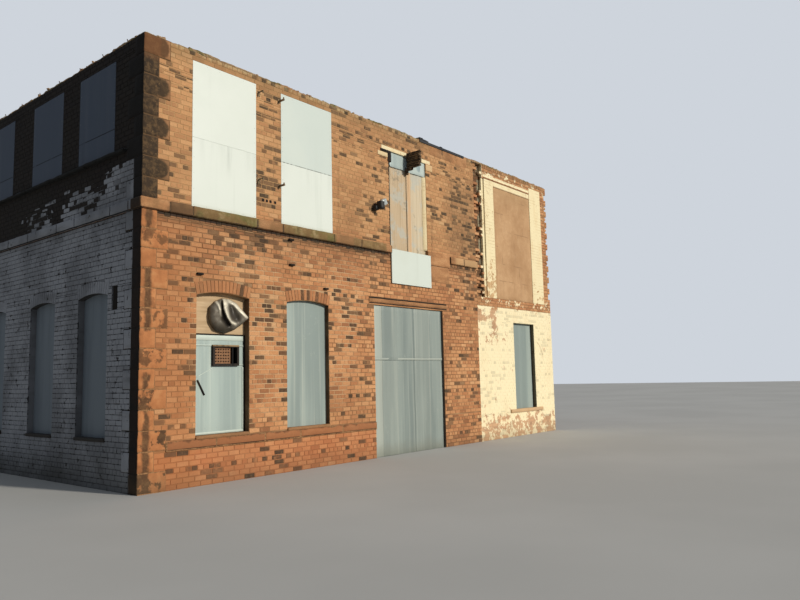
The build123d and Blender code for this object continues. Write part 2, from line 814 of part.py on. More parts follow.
with BuildPart() as vent_frame:
    with BuildSketch(FRONT_FACE.offset(-WINDOW_1_RECESS - SHEET)):
        rectangle(
            along(VENT_LEFT), along(VENT_LEFT + VENT_WIDTH), VENT_BOTTOM, VENT_BOTTOM + VENT_HEIGHT
        )
        rectangle(
            along(VENT_LEFT + VENT_FRAME),
            along(VENT_MULLION),
            VENT_BOTTOM + VENT_FRAME,
            VENT_BOTTOM + VENT_HEIGHT - VENT_FRAME,
            Mode.SUBTRACT,
        )
        rectangle(
            along(VENT_MULLION + VENT_FRAME / 2),
            along(VENT_LEFT + VENT_WIDTH - VENT_FRAME),
            VENT_BOTTOM + VENT_FRAME,
            VENT_BOTTOM + VENT_HEIGHT - VENT_FRAME,
            Mode.SUBTRACT,
        )
    extrude(amount=VENT_DEPTH)
finish(vent_frame, "vent_frame")

grille_centre = (along((VENT_LEFT + VENT_FRAME + VENT_MULLION) / 2), VENT_BOTTOM + VENT_HEIGHT / 2)
with BuildPart() as vent_grille:
    with BuildSketch(FRONT_FACE.offset(-WINDOW_1_RECESS)):
        rectangle(
            along(VENT_LEFT + VENT_FRAME),
            along(VENT_MULLION),
            VENT_BOTTOM + VENT_FRAME,
            VENT_BOTTOM + VENT_HEIGHT - VENT_FRAME,
        )
        with Locations(grille_centre):
            with GridLocations(GRILLE_PITCH, GRILLE_PITCH, GRILLE_COLUMNS, GRILLE_ROWS):
                Rectangle(GRILLE_HOLE, GRILLE_HOLE, mode=Mode.SUBTRACT)
    extrude(amount=-GRILLE_THICKNESS)
finish(vent_grille, "vent_grille")

# Sheet-metal cowl: a hollow dome on the plywood with a hollow conical beak that opens to the right
cowl_ball = (COWL_RADIUS**2 + COWL_REACH**2) / (2 * COWL_REACH)
cowl_hub = (along(COWL_CENTRE), deep(WINDOW_1_RECESS - COWL_REACH) + cowl_ball, COWL_LEVEL)
beak_start = (along(COWL_CENTRE + BEAK_START), deep(WINDOW_1_RECESS - BEAK_OUT), COWL_LEVEL)
beak_root = Location(beak_start, (0, 90, 0))
with BuildPart() as window_1_cowl:
    with Locations(cowl_hub):
        Sphere(cowl_ball)
    with Locations(beak_root):
        Cone(BEAK_ROOT, BEAK_TIP, BEAK_LENGTH, align=(Align.CENTER, Align.CENTER, Align.MIN))
    with Locations(cowl_hub):
        Sphere(cowl_ball - COWL_METAL, mode=Mode.SUBTRACT)
    with Locations(beak_root):
        Cone(
            BEAK_ROOT - COWL_METAL,
            BEAK_TIP - COWL_METAL,
            BEAK_LENGTH,
            align=(Align.CENTER, Align.CENTER, Align.MIN),
            mode=Mode.SUBTRACT,
        )
    split(bisect_by=FRONT_FACE.offset(-WINDOW_1_RECESS), keep=Keep.TOP)
finish(window_1_cowl, "window_1_cowl")

with BuildPart() as window_2_sheet:
    with BuildSketch(FRONT_FACE.offset(-WINDOW_2_RECESS)):
        add(arched_outline(along(GROUND_WINDOW_CENTRES[1]), GROUND_WINDOW_WIDTH, GROUND_SILL))
    extrude(amount=-SHEET)
finish(window_2_sheet, "window_2_sheet")

# Yard door, closed by two rows of sheets of which the upper laps over the lower
with BuildPart() as yard_door_lintel:
    block(
        along(YARD_LEFT - YARD_LINTEL_BEARING),
        along(YARD_RIGHT + YARD_LINTEL_BEARING),
        deep(-DRESSING_PROUD),
        deep(WALL),
        YARD_HEAD,
        YARD_HEAD + YARD_LINTEL_HEIGHT,
    )
finish(yard_door_lintel, "yard_door_lintel")

with BuildPart() as yard_door_sheets:
    block(
        along(YARD_LEFT), along(YARD_RIGHT), deep(YARD_RECESS), deep(YARD_RECESS + YARD_SHEET), 0, YARD_HEAD
    )
    block(
        along(YARD_LEFT),
        along(YARD_RIGHT),
        deep(YARD_RECESS - YARD_LAP),
        deep(YARD_RECESS),
        YARD_SEAM,
        YARD_HEAD,
    )
finish(yard_door_sheets, "yard_door_sheets")

# Loading door: lintel on its pad stones, boards with a batten over their joint, sheets above and below
with BuildPart() as loading_door_lintel:
    block(
        along(LINTEL_LEFT),
        along(LINTEL_RIGHT),
        deep(-DRESSING_PROUD),
        deep(LINTEL_BED),
        LOADING_HEAD,
        LOADING_HEAD + LINTEL_HEIGHT,
    )
finish(loading_door_lintel, "loading_door_lintel")

with BuildPart() as loading_door_stones:
    for x0, x1 in ((PAD_LEFT, LOADING_LEFT), (LOADING_RIGHT, PAD_RIGHT)):
        block(
            along(x0),
            along(x1),
            deep(-DRESSING_PROUD),
            deep(LINTEL_BED),
            LOADING_HEAD - PAD_HEIGHT,
            LOADING_HEAD,
        )
    block(
        along(LOADING_RIGHT),
        along(THRESHOLD_RIGHT),
        deep(-THRESHOLD_PROUD),
        deep(WALL),
        THRESHOLD_BOTTOM,
        THRESHOLD_TOP,
    )
finish(loading_door_stones, "loading_door_stones")

with BuildPart() as loading_door_boards:
    block(
        along(LOADING_LEFT),
        along(LOADING_RIGHT),
        deep(LOADING_RECESS),
        deep(LOADING_RECESS + BOARD),
        LOADING_SILL,
        LOADING_BOARD_TOP,
    )
    block(
        along(BATTEN_LEFT),
        along(BATTEN_LEFT + BATTEN_WIDTH),
        deep(LOADING_RECESS - BATTEN_PROUD),
        deep(LOADING_RECESS),
        LOADING_SILL,
        LOADING_BOARD_TOP,
    )
finish(loading_door_boards, "loading_door_boards")

with BuildPart() as loading_door_head_sheet:
    block(
        along(LOADING_LEFT),
        along(LOADING_RIGHT),
        deep(LOADING_RECESS - BATTEN_PROUD),
        deep(LOADING_RECESS + BOARD),
        LOADING_BOARD_TOP,
        LOADING_HEAD,
    )
finish(loading_door_head_sheet, "loading_door_head_sheet")

with BuildPart() as loading_door_foot_board:
    block(
        along(LOADING_LEFT),
        along(FOOT_BOARD_RIGHT),
        deep(-THRESHOLD_PROUD - BOARD),
        deep(-THRESHOLD_PROUD),
        LOADING_SILL,
        LOADING_BOARD_BOTTOM,
    )
finish(loading_door_foot_board, "loading_door_foot_board")

# Rotten end of the hoist beam over the loading door, with a curved underside
hoist_belly = HOIST_BOTTOM + (HOIST_NOSE_BOTTOM - HOIST_BOTTOM) * HOIST_BELLY_RISE
with BuildPart() as hoist_beam:
    with BuildSketch(Plane.YZ.offset(along(LOADING_CENTRE + HOIST_OFF_CENTRE - HOIST_WIDTH / 2))):
        with BuildLine():
            Polyline(
                (deep(-DRESSING_PROUD), HOIST_BOTTOM),
                (deep(-DRESSING_PROUD), HOIST_TOP),
                (deep(-HOIST_REACH), HOIST_TOP),
                (deep(-HOIST_REACH), HOIST_NOSE_BOTTOM),
            )
            ThreePointArc(
                (deep(-HOIST_REACH), HOIST_NOSE_BOTTOM),
                (deep(-HOIST_REACH * HOIST_BELLY_SHARE), hoist_belly),
                (deep(-DRESSING_PROUD), HOIST_BOTTOM),
            )
        make_face()
    extrude(amount=HOIST_WIDTH)
finish(hoist_beam, "hoist_beam")

# Ironwork: shutter pintles and brackets beside the upper windows, a lamp, spikes on the wall head
pintle = PINTLE_LEFT + PINTLE_PLATE_WIDTH / 2
bracket = BRACKET_LEFT + BRACKET_PLATE_WIDTH / 2
with BuildPart() as shutter_irons:
    for level in IRON_LEVELS:
        block(
            along(PINTLE_LEFT),
            along(PINTLE_LEFT + PINTLE_PLATE_WIDTH),
            deep(-IRON_PLATE),
            deep(0),
            level - PINTLE_PLATE_HEIGHT / 2,
            level + PINTLE_PLATE_HEIGHT / 2,
        )
        with Locations((along(pintle), deep(-IRON_PLATE), level)):
            Box(PINTLE_ARM, PINTLE_REACH, PINTLE_ARM, align=(Align.CENTER, Align.MAX, Align.CENTER))
        with Locations((along(pintle), deep(PINTLE_PIN_RADIUS - IRON_PLATE - PINTLE_REACH), level)):
            Cylinder(
                PINTLE_PIN_RADIUS, PINTLE_PIN_LENGTH, align=(Align.CENTER, Align.CENTER, Align.MIN)
            )
        block(
            along(BRACKET_LEFT),
            along(BRACKET_LEFT + BRACKET_PLATE_WIDTH),
            deep(-IRON_PLATE),
            deep(0),
            level - BRACKET_PLATE_HEIGHT / 2,
            level + BRACKET_PLATE_HEIGHT / 2,
        )
        with Locations((along(bracket), deep(-IRON_PLATE), level + BRACKET_ARM_ABOVE)):
            Box(BRACKET_ARM, BRACKET_REACH, BRACKET_ARM, align=(Align.CENTER, Align.MAX, Align.CENTER))
        with Locations(
            (along(bracket), deep(-IRON_PLATE - BRACKET_REACH), level + BRACKET_ARM_ABOVE)
        ):
            Box(BRACKET_ARM, BRACKET_ARM, BRACKET_DROP, align=(Align.CENTER, Align.MIN, Align.MAX))
finish(shutter_irons, "shutter_irons")

with BuildPart() as lamp_bracket:
    block(
        along(LAMP_CENTRE - LAMP_PLATE_WIDTH / 2),
        along(LAMP_CENTRE + LAMP_PLATE_WIDTH / 2),
        deep(-LAMP_PLATE),
        deep(0),
        LAMP_LEVEL - LAMP_PLATE_HEIGHT / 2,
        LAMP_LEVEL + LAMP_PLATE_HEIGHT / 2,
    )
    block(
        along(LAMP_CENTRE - LAMP_ARM / 2),
        along(LAMP_CENTRE + LAMP_ARM / 2),
        deep(-LAMP_ARM_REACH),
        deep(-LAMP_PLATE),
        LAMP_LEVEL - LAMP_ARM / 2,
        LAMP_LEVEL + LAMP_ARM / 2,
    )
finish(lamp_bracket, "lamp_bracket")

with BuildPart() as lamp_head:
    with BuildSketch(Plane.YZ.offset(along(LAMP_CENTRE) - LAMP_WIDTH / 2)):
        with BuildLine():
            Polyline(
                (deep(-LAMP_ARM_REACH), LAMP_LEVEL + LAMP_BACK_TOP),
                (deep(-LAMP_TOP_REACH), LAMP_LEVEL + LAMP_FRONT_TOP),
                (deep(-LAMP_BOTTOM_REACH), LAMP_LEVEL - LAMP_FRONT_BOTTOM),
                (deep(-LAMP_ARM_REACH), LAMP_LEVEL - LAMP_BACK_BOTTOM),
                close=True,
            )
        make_face()
    extrude(amount=LAMP_WIDTH)
finish(lamp_head, "lamp_head")

spike_count = int((DEPTH - 2 * WALL - SPIKE_FIRST) / SPIKE_PITCH) + 1
with BuildPart() as wall_spikes:
    for spike in range(spike_count):
        root = Plane(
            origin=(LEFT + SPIKE_INSET, deep(WALL + SPIKE_FIRST + SPIKE_PITCH * spike), HEIGHT),
            x_dir=(0, 1, 0),
            z_dir=(-SPIKE_LEAN, 0, SPIKE_LENGTH),
        )
        with BuildSketch(root.offset(-SPIKE_RADIUS)):
            Circle(SPIKE_RADIUS)
        extrude(amount=SPIKE_LENGTH)
    split(bisect_by=Plane.XY.offset(HEIGHT), keep=Keep.TOP)
finish(wall_spikes, "wall_spikes")
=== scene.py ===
# %% [markdown]
# # A disused two-storey brick factory block
#
# The block stands at a street corner. Its walls are brick, its corners, sills and bands are stone, and
# every window and door is closed with boards or steel sheets. The CAD model gives the walls, openings and
# fittings in their true places. This notebook dresses it: single bricks, stones, worn boards, paint, soot
# and moss. Painted shade darkens the side that faces away from the key light, and gaps, reveals and
# folds; the cowl's crests carry a painted highlight.

# %% Load the imported model as a fixed frame
import math
import random
from collections import namedtuple

import bmesh
import bpy
from mathutils import Matrix, Vector, noise


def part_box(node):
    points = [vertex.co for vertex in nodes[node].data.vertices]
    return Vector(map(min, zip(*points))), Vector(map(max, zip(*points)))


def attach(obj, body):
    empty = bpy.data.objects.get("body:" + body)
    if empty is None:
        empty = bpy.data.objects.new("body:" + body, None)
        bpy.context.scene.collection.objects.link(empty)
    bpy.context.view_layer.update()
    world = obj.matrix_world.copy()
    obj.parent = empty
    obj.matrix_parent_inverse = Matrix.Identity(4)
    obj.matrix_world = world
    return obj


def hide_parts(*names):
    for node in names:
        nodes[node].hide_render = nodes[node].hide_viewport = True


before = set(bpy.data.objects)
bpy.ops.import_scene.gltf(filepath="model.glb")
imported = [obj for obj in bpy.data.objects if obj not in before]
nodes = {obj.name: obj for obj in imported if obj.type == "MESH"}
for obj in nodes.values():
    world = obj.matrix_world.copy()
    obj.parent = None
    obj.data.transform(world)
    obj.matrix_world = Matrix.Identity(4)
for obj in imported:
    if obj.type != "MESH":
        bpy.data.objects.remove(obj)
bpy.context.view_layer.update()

scene = bpy.context.scene

# %% [markdown]
# ## Sizes
#
# The walls' outer faces and levels are read from the CAD nodes, so bricks laid here always meet them. All
# sizes are metres. The front looks towards -Y and the side towards -X. Along the front a place is given
# from its left end, along the side from the front, and heights are given from the ground.

# %% Faces and levels of the block
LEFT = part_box("left_wall_lower")[0][0]
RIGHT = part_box("party_wall")[1][0]
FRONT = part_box("front_wall_lower")[0][1]
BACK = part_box("back_wall_lower")[1][1]
LENGTH = RIGHT - LEFT
DEPTH = BACK - FRONT
STRING_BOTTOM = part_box("left_wall_lower")[1][2]
STRING_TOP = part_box("left_wall_upper")[0][2]
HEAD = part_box("party_wall")[1][2]
BAND_BOTTOM, BAND_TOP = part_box("bay_brick_band")[0][2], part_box("bay_brick_band")[1][2]
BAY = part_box("bay_brick_band")[0][0] - LEFT
BEAM_BOTTOM, BEAM_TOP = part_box("bay_beam")[0][2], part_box("bay_beam")[1][2]
print("length", round(LENGTH, 3), "depth", round(DEPTH, 3), "height", round(HEAD, 3))

# %% Sizes of the brickwork
COURSE = 0.0906
JOINT = 0.011
STRETCHER, HEADER = 0.236, 0.118
BRICK_PROUD = 0.007
print("courses", round(HEAD / COURSE))

# %% [markdown]
# ## A short way to write node trees
#
# Materials and Geometry Nodes trees are both nodes joined by links. One helper adds a node and fills its
# sockets, with a plain value or with the output of another node. Patterns are mostly sums and products of
# masks, so an output is wrapped in a Wire, which Python's own + - * / turn into Math nodes.

# %% Add a node, and reckon with its output
def add(tree, kind, settings=None, **sockets):
    """Adds a node. A socket is named with _ for a space, or i0, i1 ... for its number."""
    made = tree.nodes.new(kind)
    for key, value in (settings or {}).items():
        setattr(made, key, value)
    for key, value in sockets.items():
        numbered = key[0] == "i" and key[1:].isdigit()
        socket = made.inputs[int(key[1:]) if numbered else key.replace("_", " ")]
        if isinstance(value, Wire):
            value = value.socket
        if isinstance(value, bpy.types.NodeSocket):
            tree.links.new(value, socket)
        else:
            socket.default_value = value
    return made


class Wire:
    """A number that comes out of a node. It is added, taken away, multiplied and divided like a plain one."""

    def __init__(self, tree, socket):
        self.tree = tree
        self.socket = socket

    def __add__(self, other):
        return calculate(self.tree, "ADD", self, other)

    def __sub__(self, other):
        return calculate(self.tree, "SUBTRACT", self, other)

    def __rsub__(self, other):
        return calculate(self.tree, "SUBTRACT", other, self)

    def __mul__(self, other):
        return calculate(self.tree, "MULTIPLY", self, other)

    def __truediv__(self, other):
        return calculate(self.tree, "DIVIDE", self, other)


def calculate(tree, operation, a, b=0.0):
    return Wire(tree, add(tree, "ShaderNodeMath", {"operation": operation}, i0=a, i1=b).outputs[0])


def shade(red, green, blue):
    """A colour as it looks on a screen, 0 to 255, turned into Blender's linear one."""
    def linear(value):
        value /= 255
        return value / 12.92 if value <= 0.04045 else ((value + 0.055) / 1.055) ** 2.4
    return (linear(red), linear(green), linear(blue), 1)


def paint(colour):
    """A colour given as three plain numbers from 0 to 255 is turned into a linear one, any other is kept."""
    return shade(*colour) if isinstance(colour, tuple) and len(colour) == 3 else colour


print("mid grey is", round(shade(128, 128, 128)[0], 3))

# %% [markdown]
# ## A material under construction
#
# Every finish starts from a colour ramp on noise, lays other colours over it through masks, and ends in
# one shader with a bump. All patterns read Object coordinates, which are metres here, so a mask can be
# placed with a tape measure.

# %% The finish class
Place = namedtuple("Place", "x y z")


class Finish:
    """A material under construction: what its patterns read, and short ways to mix them."""

    def __init__(self, name):
        self.material = bpy.data.materials.new(name)
        self.material.use_nodes = True
        self.tree = self.material.node_tree
        self.tree.nodes.clear()
        self.at = add(self.tree, "ShaderNodeTexCoord").outputs["Object"]
        self.x, self.y, self.z = self.split(self.at)

    def split(self, vector):
        axes = add(self.tree, "ShaderNodeSeparateXYZ", Vector=vector).outputs[:3]
        return Place(*[Wire(self.tree, axis) for axis in axes])

    def math(self, operation, a, b=0.0):
        return calculate(self.tree, operation, a, b)

    def most(self, first, *others):
        """The highest of several masks at each point, so that they lie side by side and never add up."""
        for other in others:
            first = self.math("MAXIMUM", first, other)
        return first

    def noise(self, scale, detail=4.0, stretch=(1, 1, 1), shift=0.0, rough=0.55, warp=0.0):
        placed = add(self.tree, "ShaderNodeMapping", Vector=self.at, Scale=stretch,
                     Location=(shift, shift, shift))
        grain = add(self.tree, "ShaderNodeTexNoise", Vector=placed.outputs[0], Scale=scale, Detail=detail,
                    Roughness=rough, Distortion=warp)
        return Wire(self.tree, grain.outputs["Fac"])

    def streaks(self, across, tall, shift):
        """Noise drawn out along z, as rain draws dirt down a sheet."""
        return self.noise(1.0, 5.0, stretch=(across, across, tall), shift=shift)

    def cells(self, scale):
        found = add(self.tree, "ShaderNodeTexVoronoi", Vector=self.at, Scale=scale).outputs["Distance"]
        return Wire(self.tree, found)

    def step(self, value, low, high, out_low=0.0, out_high=1.0):
        """A smooth change from out_low to out_high as the value goes from low to high."""
        made = add(self.tree, "ShaderNodeMapRange", {"interpolation_type": "SMOOTHSTEP"}, Value=value,
                   From_Min=low, From_Max=high, To_Min=out_low, To_Max=out_high)
        return Wire(self.tree, made.outputs[0])

    def between(self, value, low, high, soft):
        up = self.step(value, low - soft, low + soft)
        down = self.step(value, high - soft, high + soft, 1.0, 0.0)
        return up * down

    def ragged(self, amount, scale):
        """Place with its edges broken up by noise, for stains and flaking paint."""
        grain = add(self.tree, "ShaderNodeTexNoise", Vector=self.at, Scale=scale, Detail=5.0, Roughness=0.65)
        off = add(self.tree, "ShaderNodeVectorMath", {"operation": "SUBTRACT"}, i0=grain.outputs["Color"],
                  i1=(0.5, 0.5, 0.5))
        far = add(self.tree, "ShaderNodeVectorMath", {"operation": "SCALE"}, i0=off.outputs[0], Scale=amount)
        moved = add(self.tree, "ShaderNodeVectorMath", {"operation": "ADD"}, i0=self.at, i1=far.outputs[0])
        return self.split(moved.outputs[0])

    def patch(self, place, x, z, soft):
        """Mask of a box in x and z on a ragged or plain place."""
        return self.between(place.x, *x, soft) * self.between(place.z, *z, soft)

    def ramp(self, value, *stops):
        made = add(self.tree, "ShaderNodeValToRGB", Fac=value)
        points = made.color_ramp.elements
        while len(points) < len(stops):
            points.new(0.5)
        for point, (place, colour) in zip(points, stops):
            point.position = place
            point.color = paint(colour)
        return made.outputs[0]

    def mix(self, share, under, over):
        """The colour over laid on the colour under, through a mask or by one share."""
        made = add(self.tree, "ShaderNodeMix", {"data_type": "RGBA"}, i0=share, i6=paint(under),
                   i7=paint(over))
        return made.outputs[2]

    def lay(self, share, over):
        """Lays one more colour over all that the finish has so far."""
        self.colour = self.mix(share, self.colour, over)

    def attribute(self, name):
        return Wire(self.tree, add(self.tree, "ShaderNodeAttribute", {"attribute_name": name}).outputs["Fac"])

    def done(self, colour, roughness=0.9, height=None, bump=0.4, depth=0.004, metallic=0.0, specular=0.35):
        shader = add(self.tree, "ShaderNodeBsdfPrincipled", Base_Color=colour, Roughness=roughness,
                     Metallic=metallic, Specular_IOR_Level=specular)
        if height is not None:
            relief = add(self.tree, "ShaderNodeBump", Strength=bump, Distance=depth, Height=height)
            self.tree.links.new(relief.outputs[0], shader.inputs["Normal"])
        add(self.tree, "ShaderNodeOutputMaterial", Surface=shader.outputs[0])
        print("material", self.material.name, "of", len(self.tree.nodes), "nodes")
        return self.material

# %% [markdown]
# ## Weather and painted shade on the front
#
# Soot, damp, flaking paint and painted shade lie over brick and mortar alike. So one function for each
# wall lays them, and both materials call it. A mask is a box whose edge is broken up by noise, which is
# how a real stain ends. The front is brownest at its head, darker under the string course with painted
# shade and a painted shadow line, and orange along its foot.

# %% Colours of the weather
# Soot where it streaks the walls, and painted shade where it darkens the brick under the string course.
SOOT_AND_SHADE = shade(50, 40, 29)
MOSS = shade(98, 96, 54)
WHITEWASH = shade(152, 155, 161)
CREAM = shade(232, 219, 182)
BAND_SHADOW = shade(40, 30, 22)
print("soot is", [round(v, 3) for v in SOOT_AND_SHADE[:3]])

# %% Soot, damp and painted shade on the front
def weather_front(f, colour):
    rough = f.ragged(0.5, 1.6)
    fine = f.ragged(0.16, 9.0)
    big = f.noise(0.45, 3.0, shift=7.0)
    upper = f.step(rough.z, STRING_TOP - 0.2, STRING_TOP + 0.4, 0.0, 0.25)
    colour = f.mix(upper, colour, (172, 146, 104))
    colour = f.mix(f.step(big, 0.45, 0.72, 0.0, 0.34), colour, (130, 94, 62))
    streak = f.noise(1.0, 4.0, stretch=(5.0, 5.0, 0.35), shift=3.0)
    colour = f.mix(f.step(streak, 0.58, 0.78, 0.0, 0.25), colour, SOOT_AND_SHADE)
    sooty = f.patch(rough, (LEFT + 8.75, LEFT + 10.1), (5.0, 7.0), 0.35)
    colour = f.mix(sooty * 0.3, colour, (84, 68, 48))
    head = f.step(rough.z, HEAD - 0.4, HEAD + 0.02, 0.0, 0.48)
    colour = f.mix(head, colour, (112, 92, 60))
    crown = (f.step(fine.z, HEAD - 0.09, HEAD - 0.02, 0.0, 0.75)
             * f.step(f.noise(7.0, 6.0, rough=0.7, shift=9.0), 0.46, 0.58))
    colour = f.mix(crown, colour, (176, 156, 116))
    washed = f.step(f.z, 0.66, 0.6, 0.0, 0.62) * f.step(f.noise(2.0, 5.0, shift=5.0), 0.3, 0.62, 1.0, 0.6)
    washed *= f.step(f.x, LEFT + 5.8, LEFT + 5.7)
    colour = f.mix(washed, colour, (174, 102, 62))
    near_corner = f.step(rough.x, LEFT + 1.25, LEFT + 0.85) * f.step(f.z, STRING_BOTTOM, STRING_BOTTOM - 0.2)
    colour = f.mix(near_corner * 0.42, colour, (160, 102, 60))
    damp = f.step(rough.z, 0.45, 0.0, 0.0, 0.35)
    colour = f.mix(damp, colour, (88, 70, 48))
    # Painted shade under the string course: a gradient, a darker band, then a crisp painted shadow line.
    shaded = f.step(rough.z, STRING_BOTTOM - 0.9, STRING_BOTTOM - 0.2, 0.0, 0.14)
    shaded *= f.step(f.z, STRING_TOP, STRING_BOTTOM)
    colour = f.mix(shaded, colour, SOOT_AND_SHADE)
    band = f.between(fine.z, STRING_BOTTOM - 0.16, STRING_BOTTOM + 0.02, 0.08)
    colour = f.mix(band * 0.4, colour, SOOT_AND_SHADE)
    drip = f.step(f.z, STRING_BOTTOM - 0.068, STRING_BOTTOM - 0.054, 0.0, 0.95)
    drip *= f.step(f.z, STRING_BOTTOM + 0.03, STRING_BOTTOM + 0.01)
    ends = f.step(f.x, LEFT + 6.35, LEFT + 6.30)
    return f.mix(drip * ends, colour, BAND_SHADOW)

# %% [markdown]
# ## Whitewash, soot and painted shade on the side
#
# The left wall is whitewashed below and black above: soot, darkened further as painted shade, as this
# side faces away from the key light. Above the band the whitewash is left on single bricks: each brick's
# chance of keeping it is compared with a share that falls off along the wall. A noise mask alone would cut
# across bricks.

# %% Whitewash, soot and painted shade on the side
def whitewash(f, colour, hold=0.37, each=None):
    """Whitewash on the left wall: whole up to the band, then left on single bricks (each is their chance)."""
    kept = f.step(f.noise(7.0, 6.0, rough=0.7), hold - 0.04, hold + 0.04)
    kept = f.most(kept, f.step(f.x, LEFT + 0.012, LEFT + 0.02))
    wash = f.mix(f.step(f.noise(0.8, 6.0, shift=4.0), 0.4, 0.6, 0.0, 0.62), WHITEWASH, (98, 100, 104))
    wash = f.mix(f.step(f.noise(1.0, 4.0, stretch=(0.8, 0.8, 5.0), shift=2.0), 0.54, 0.7, 0.0, 0.35), wash,
                 (88, 88, 88))
    clear = f.step(f.y, FRONT + 0.245, FRONT + 0.255)
    low = f.step(f.z, STRING_TOP + 0.01, STRING_TOP - 0.01)
    each = f.noise(5.0, 4.0, shift=9.0) if each is None else each
    corner = f.step(f.y, FRONT + 1.6, FRONT + 0.9) * f.step(f.z, 5.7, 5.48)
    near = f.step(f.y, FRONT + 4.0, FRONT + 1.2, 0.0, 0.92) * f.step(f.z, 5.6, 5.15)
    far = f.between(f.y, FRONT + 3.3, FRONT + 4.6, 0.35) * f.step(f.z, 5.45, 5.1, 0.0, 0.7)
    share = f.most(corner, near, far)
    trail = f.step(share - each, 0.02, 0.06)
    area = f.most(low, trail)
    return f.mix(area * clear * kept, colour, wash)


def weather_left(f, colour, hold=0.37, each=None):
    rough = f.ragged(0.5, 2.0)
    # Near black above the whitewash: soot, darkened further as painted shade of the side.
    black = f.mix(0.975, colour, (17, 19, 19))
    black = f.mix(f.step(f.noise(0.9, 4.0), 0.4, 0.7, 0.0, 0.4), black, (38, 35, 28))
    colour = whitewash(f, black, hold, each)
    line = f.between(f.z, STRING_BOTTOM - 0.03, STRING_BOTTOM + 0.005, 0.004)
    colour = f.mix(line * 0.8, colour, BAND_SHADOW)
    damp = f.step(rough.z, 0.9, 0.0, 0.0, 0.6)
    return f.mix(damp, colour, (58, 56, 44))

# %% [markdown]
# ## Paint and painted shade on the right-hand bay
#
# The bay's foot is painted cream that flakes, most of all near the ground and at the left edge. Each loss
# is one more threshold on noise, and the masks are multiplied, so paint stays only where all of them
# leave it. The deep chase at its left and the right reveal of its window are darkened as painted shade.

# %% Flaking paint and painted shade on the bay
def weather_bay(f, colour):
    rough = f.ragged(0.45, 2.2)
    fine = f.ragged(0.05, 20.0)
    old = f.mix(f.step(f.noise(0.8, 4.0), 0.35, 0.7, 0.0, 0.4), colour, (140, 108, 72))
    kept = f.step(f.noise(3.2, 7.0, rough=0.72, shift=2.0), 0.33, 0.37)
    lower = f.step(fine.z, BAND_BOTTOM + 0.01, BAND_BOTTOM - 0.02)
    torn = f.patch(rough, (LEFT + BAY - 0.2, LEFT + BAY + 1.15), (2.3, 3.75), 0.25)
    torn = f.step(f.noise(2.6, 7.0, rough=0.7, shift=5.0) - torn * 0.13, 0.33, 0.37)
    foot = f.step(rough.z, 0.35, 0.95, 0.17, 0.0)
    foot = f.step(f.noise(4.0, 6.0, rough=0.7, shift=8.0) - foot, 0.33, 0.37)
    painted = lower * kept * torn * foot
    inside = f.between(f.x, LEFT + BAY + 0.5, LEFT + LENGTH - 1.1, 0.02)
    stripe = f.between(fine.z, BEAM_TOP + 0.055, BEAM_TOP + 0.135, 0.012) * inside
    stripe *= f.step(f.noise(3.0, 5.0, rough=0.7, shift=3.0), 0.36, 0.4)
    spill = (f.between(rough.z, BEAM_TOP + 0.1, BEAM_TOP + 0.32, 0.05)
             * f.step(f.noise(6.0, 6.0, rough=0.7, shift=3.0), 0.55, 0.59))
    smear = (f.between(rough.z, BAND_BOTTOM + 0.05, BAND_TOP + 0.1, 0.06)
             * f.step(f.noise(4.0, 6.0, rough=0.7, shift=6.0), 0.56, 0.6))
    chased = (f.between(f.x, LEFT + BAY + 0.33, LEFT + BAY + 0.45, 0.02)
              * f.step(f.noise(3.0, 6.0, rough=0.7, shift=1.0), 0.46, 0.5))
    chased *= f.step(f.z, BAND_TOP, BAND_TOP + 0.2)
    painted = f.most(painted, stripe, chased, spill, smear)
    worn = f.mix(f.step(f.noise(1.1, 5.0, stretch=(2, 2, 0.6)), 0.45, 0.75, 0.0, 0.35), CREAM,
                 (214, 192, 150))
    pitted = f.step(f.noise(26.0, 4.0, rough=0.7, shift=4.0), 0.6, 0.72, 0.0, 0.35)
    worn = f.mix(pitted, worn, (180, 152, 112))
    bare = f.mix(f.step(f.z, BAND_BOTTOM - 0.05, BAND_BOTTOM - 0.1, 0.0, 0.45), old, (216, 184, 150))
    colour = f.mix(painted, bare, worn)
    line = f.between(fine.z, BEAM_TOP - 0.01, BEAM_TOP + 0.05, 0.008) * inside
    colour = f.mix(line * 0.7, colour, (112, 78, 50))
    arc_x, arc_z = (f.x - (LEFT + BAY + 3.0), f.z - 2.2)
    arc = f.math("SQRT", arc_x * arc_x + arc_z * arc_z)
    arc = f.between(arc, 0.6, 0.63, 0.01) * f.step(f.x, LEFT + BAY + 3.2, LEFT + BAY + 3.3, 0.0, 0.5)
    colour = f.mix(arc * f.step(f.z, 2.2, 2.3), colour, (150, 104, 64))
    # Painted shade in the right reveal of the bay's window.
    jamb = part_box("bay_window_sheet")[1][0]
    jamb = (f.between(f.x, jamb - 0.006, jamb + 0.006, 0.003)
            * f.step(f.y, FRONT + 0.004, FRONT + 0.012, 0.0, 0.85))
    colour = f.mix(jamb * f.step(f.z, BAND_BOTTOM, BAND_BOTTOM - 0.05), colour, (38, 29, 21))
    # Painted shade deep in the chase.
    recess_shade = f.step(f.y, FRONT + 0.06, FRONT + 0.10, 0.0, 0.72)
    colour = f.mix(recess_shade, colour, (52, 40, 27))
    head = f.step(rough.z, HEAD - 0.22, HEAD + 0.05, 0.0, 0.5)
    colour = f.mix(head, colour, (104, 86, 56))
    return f.mix(f.step(rough.z, 0.4, 0.0, 0.0, 0.4), colour, (120, 98, 68))

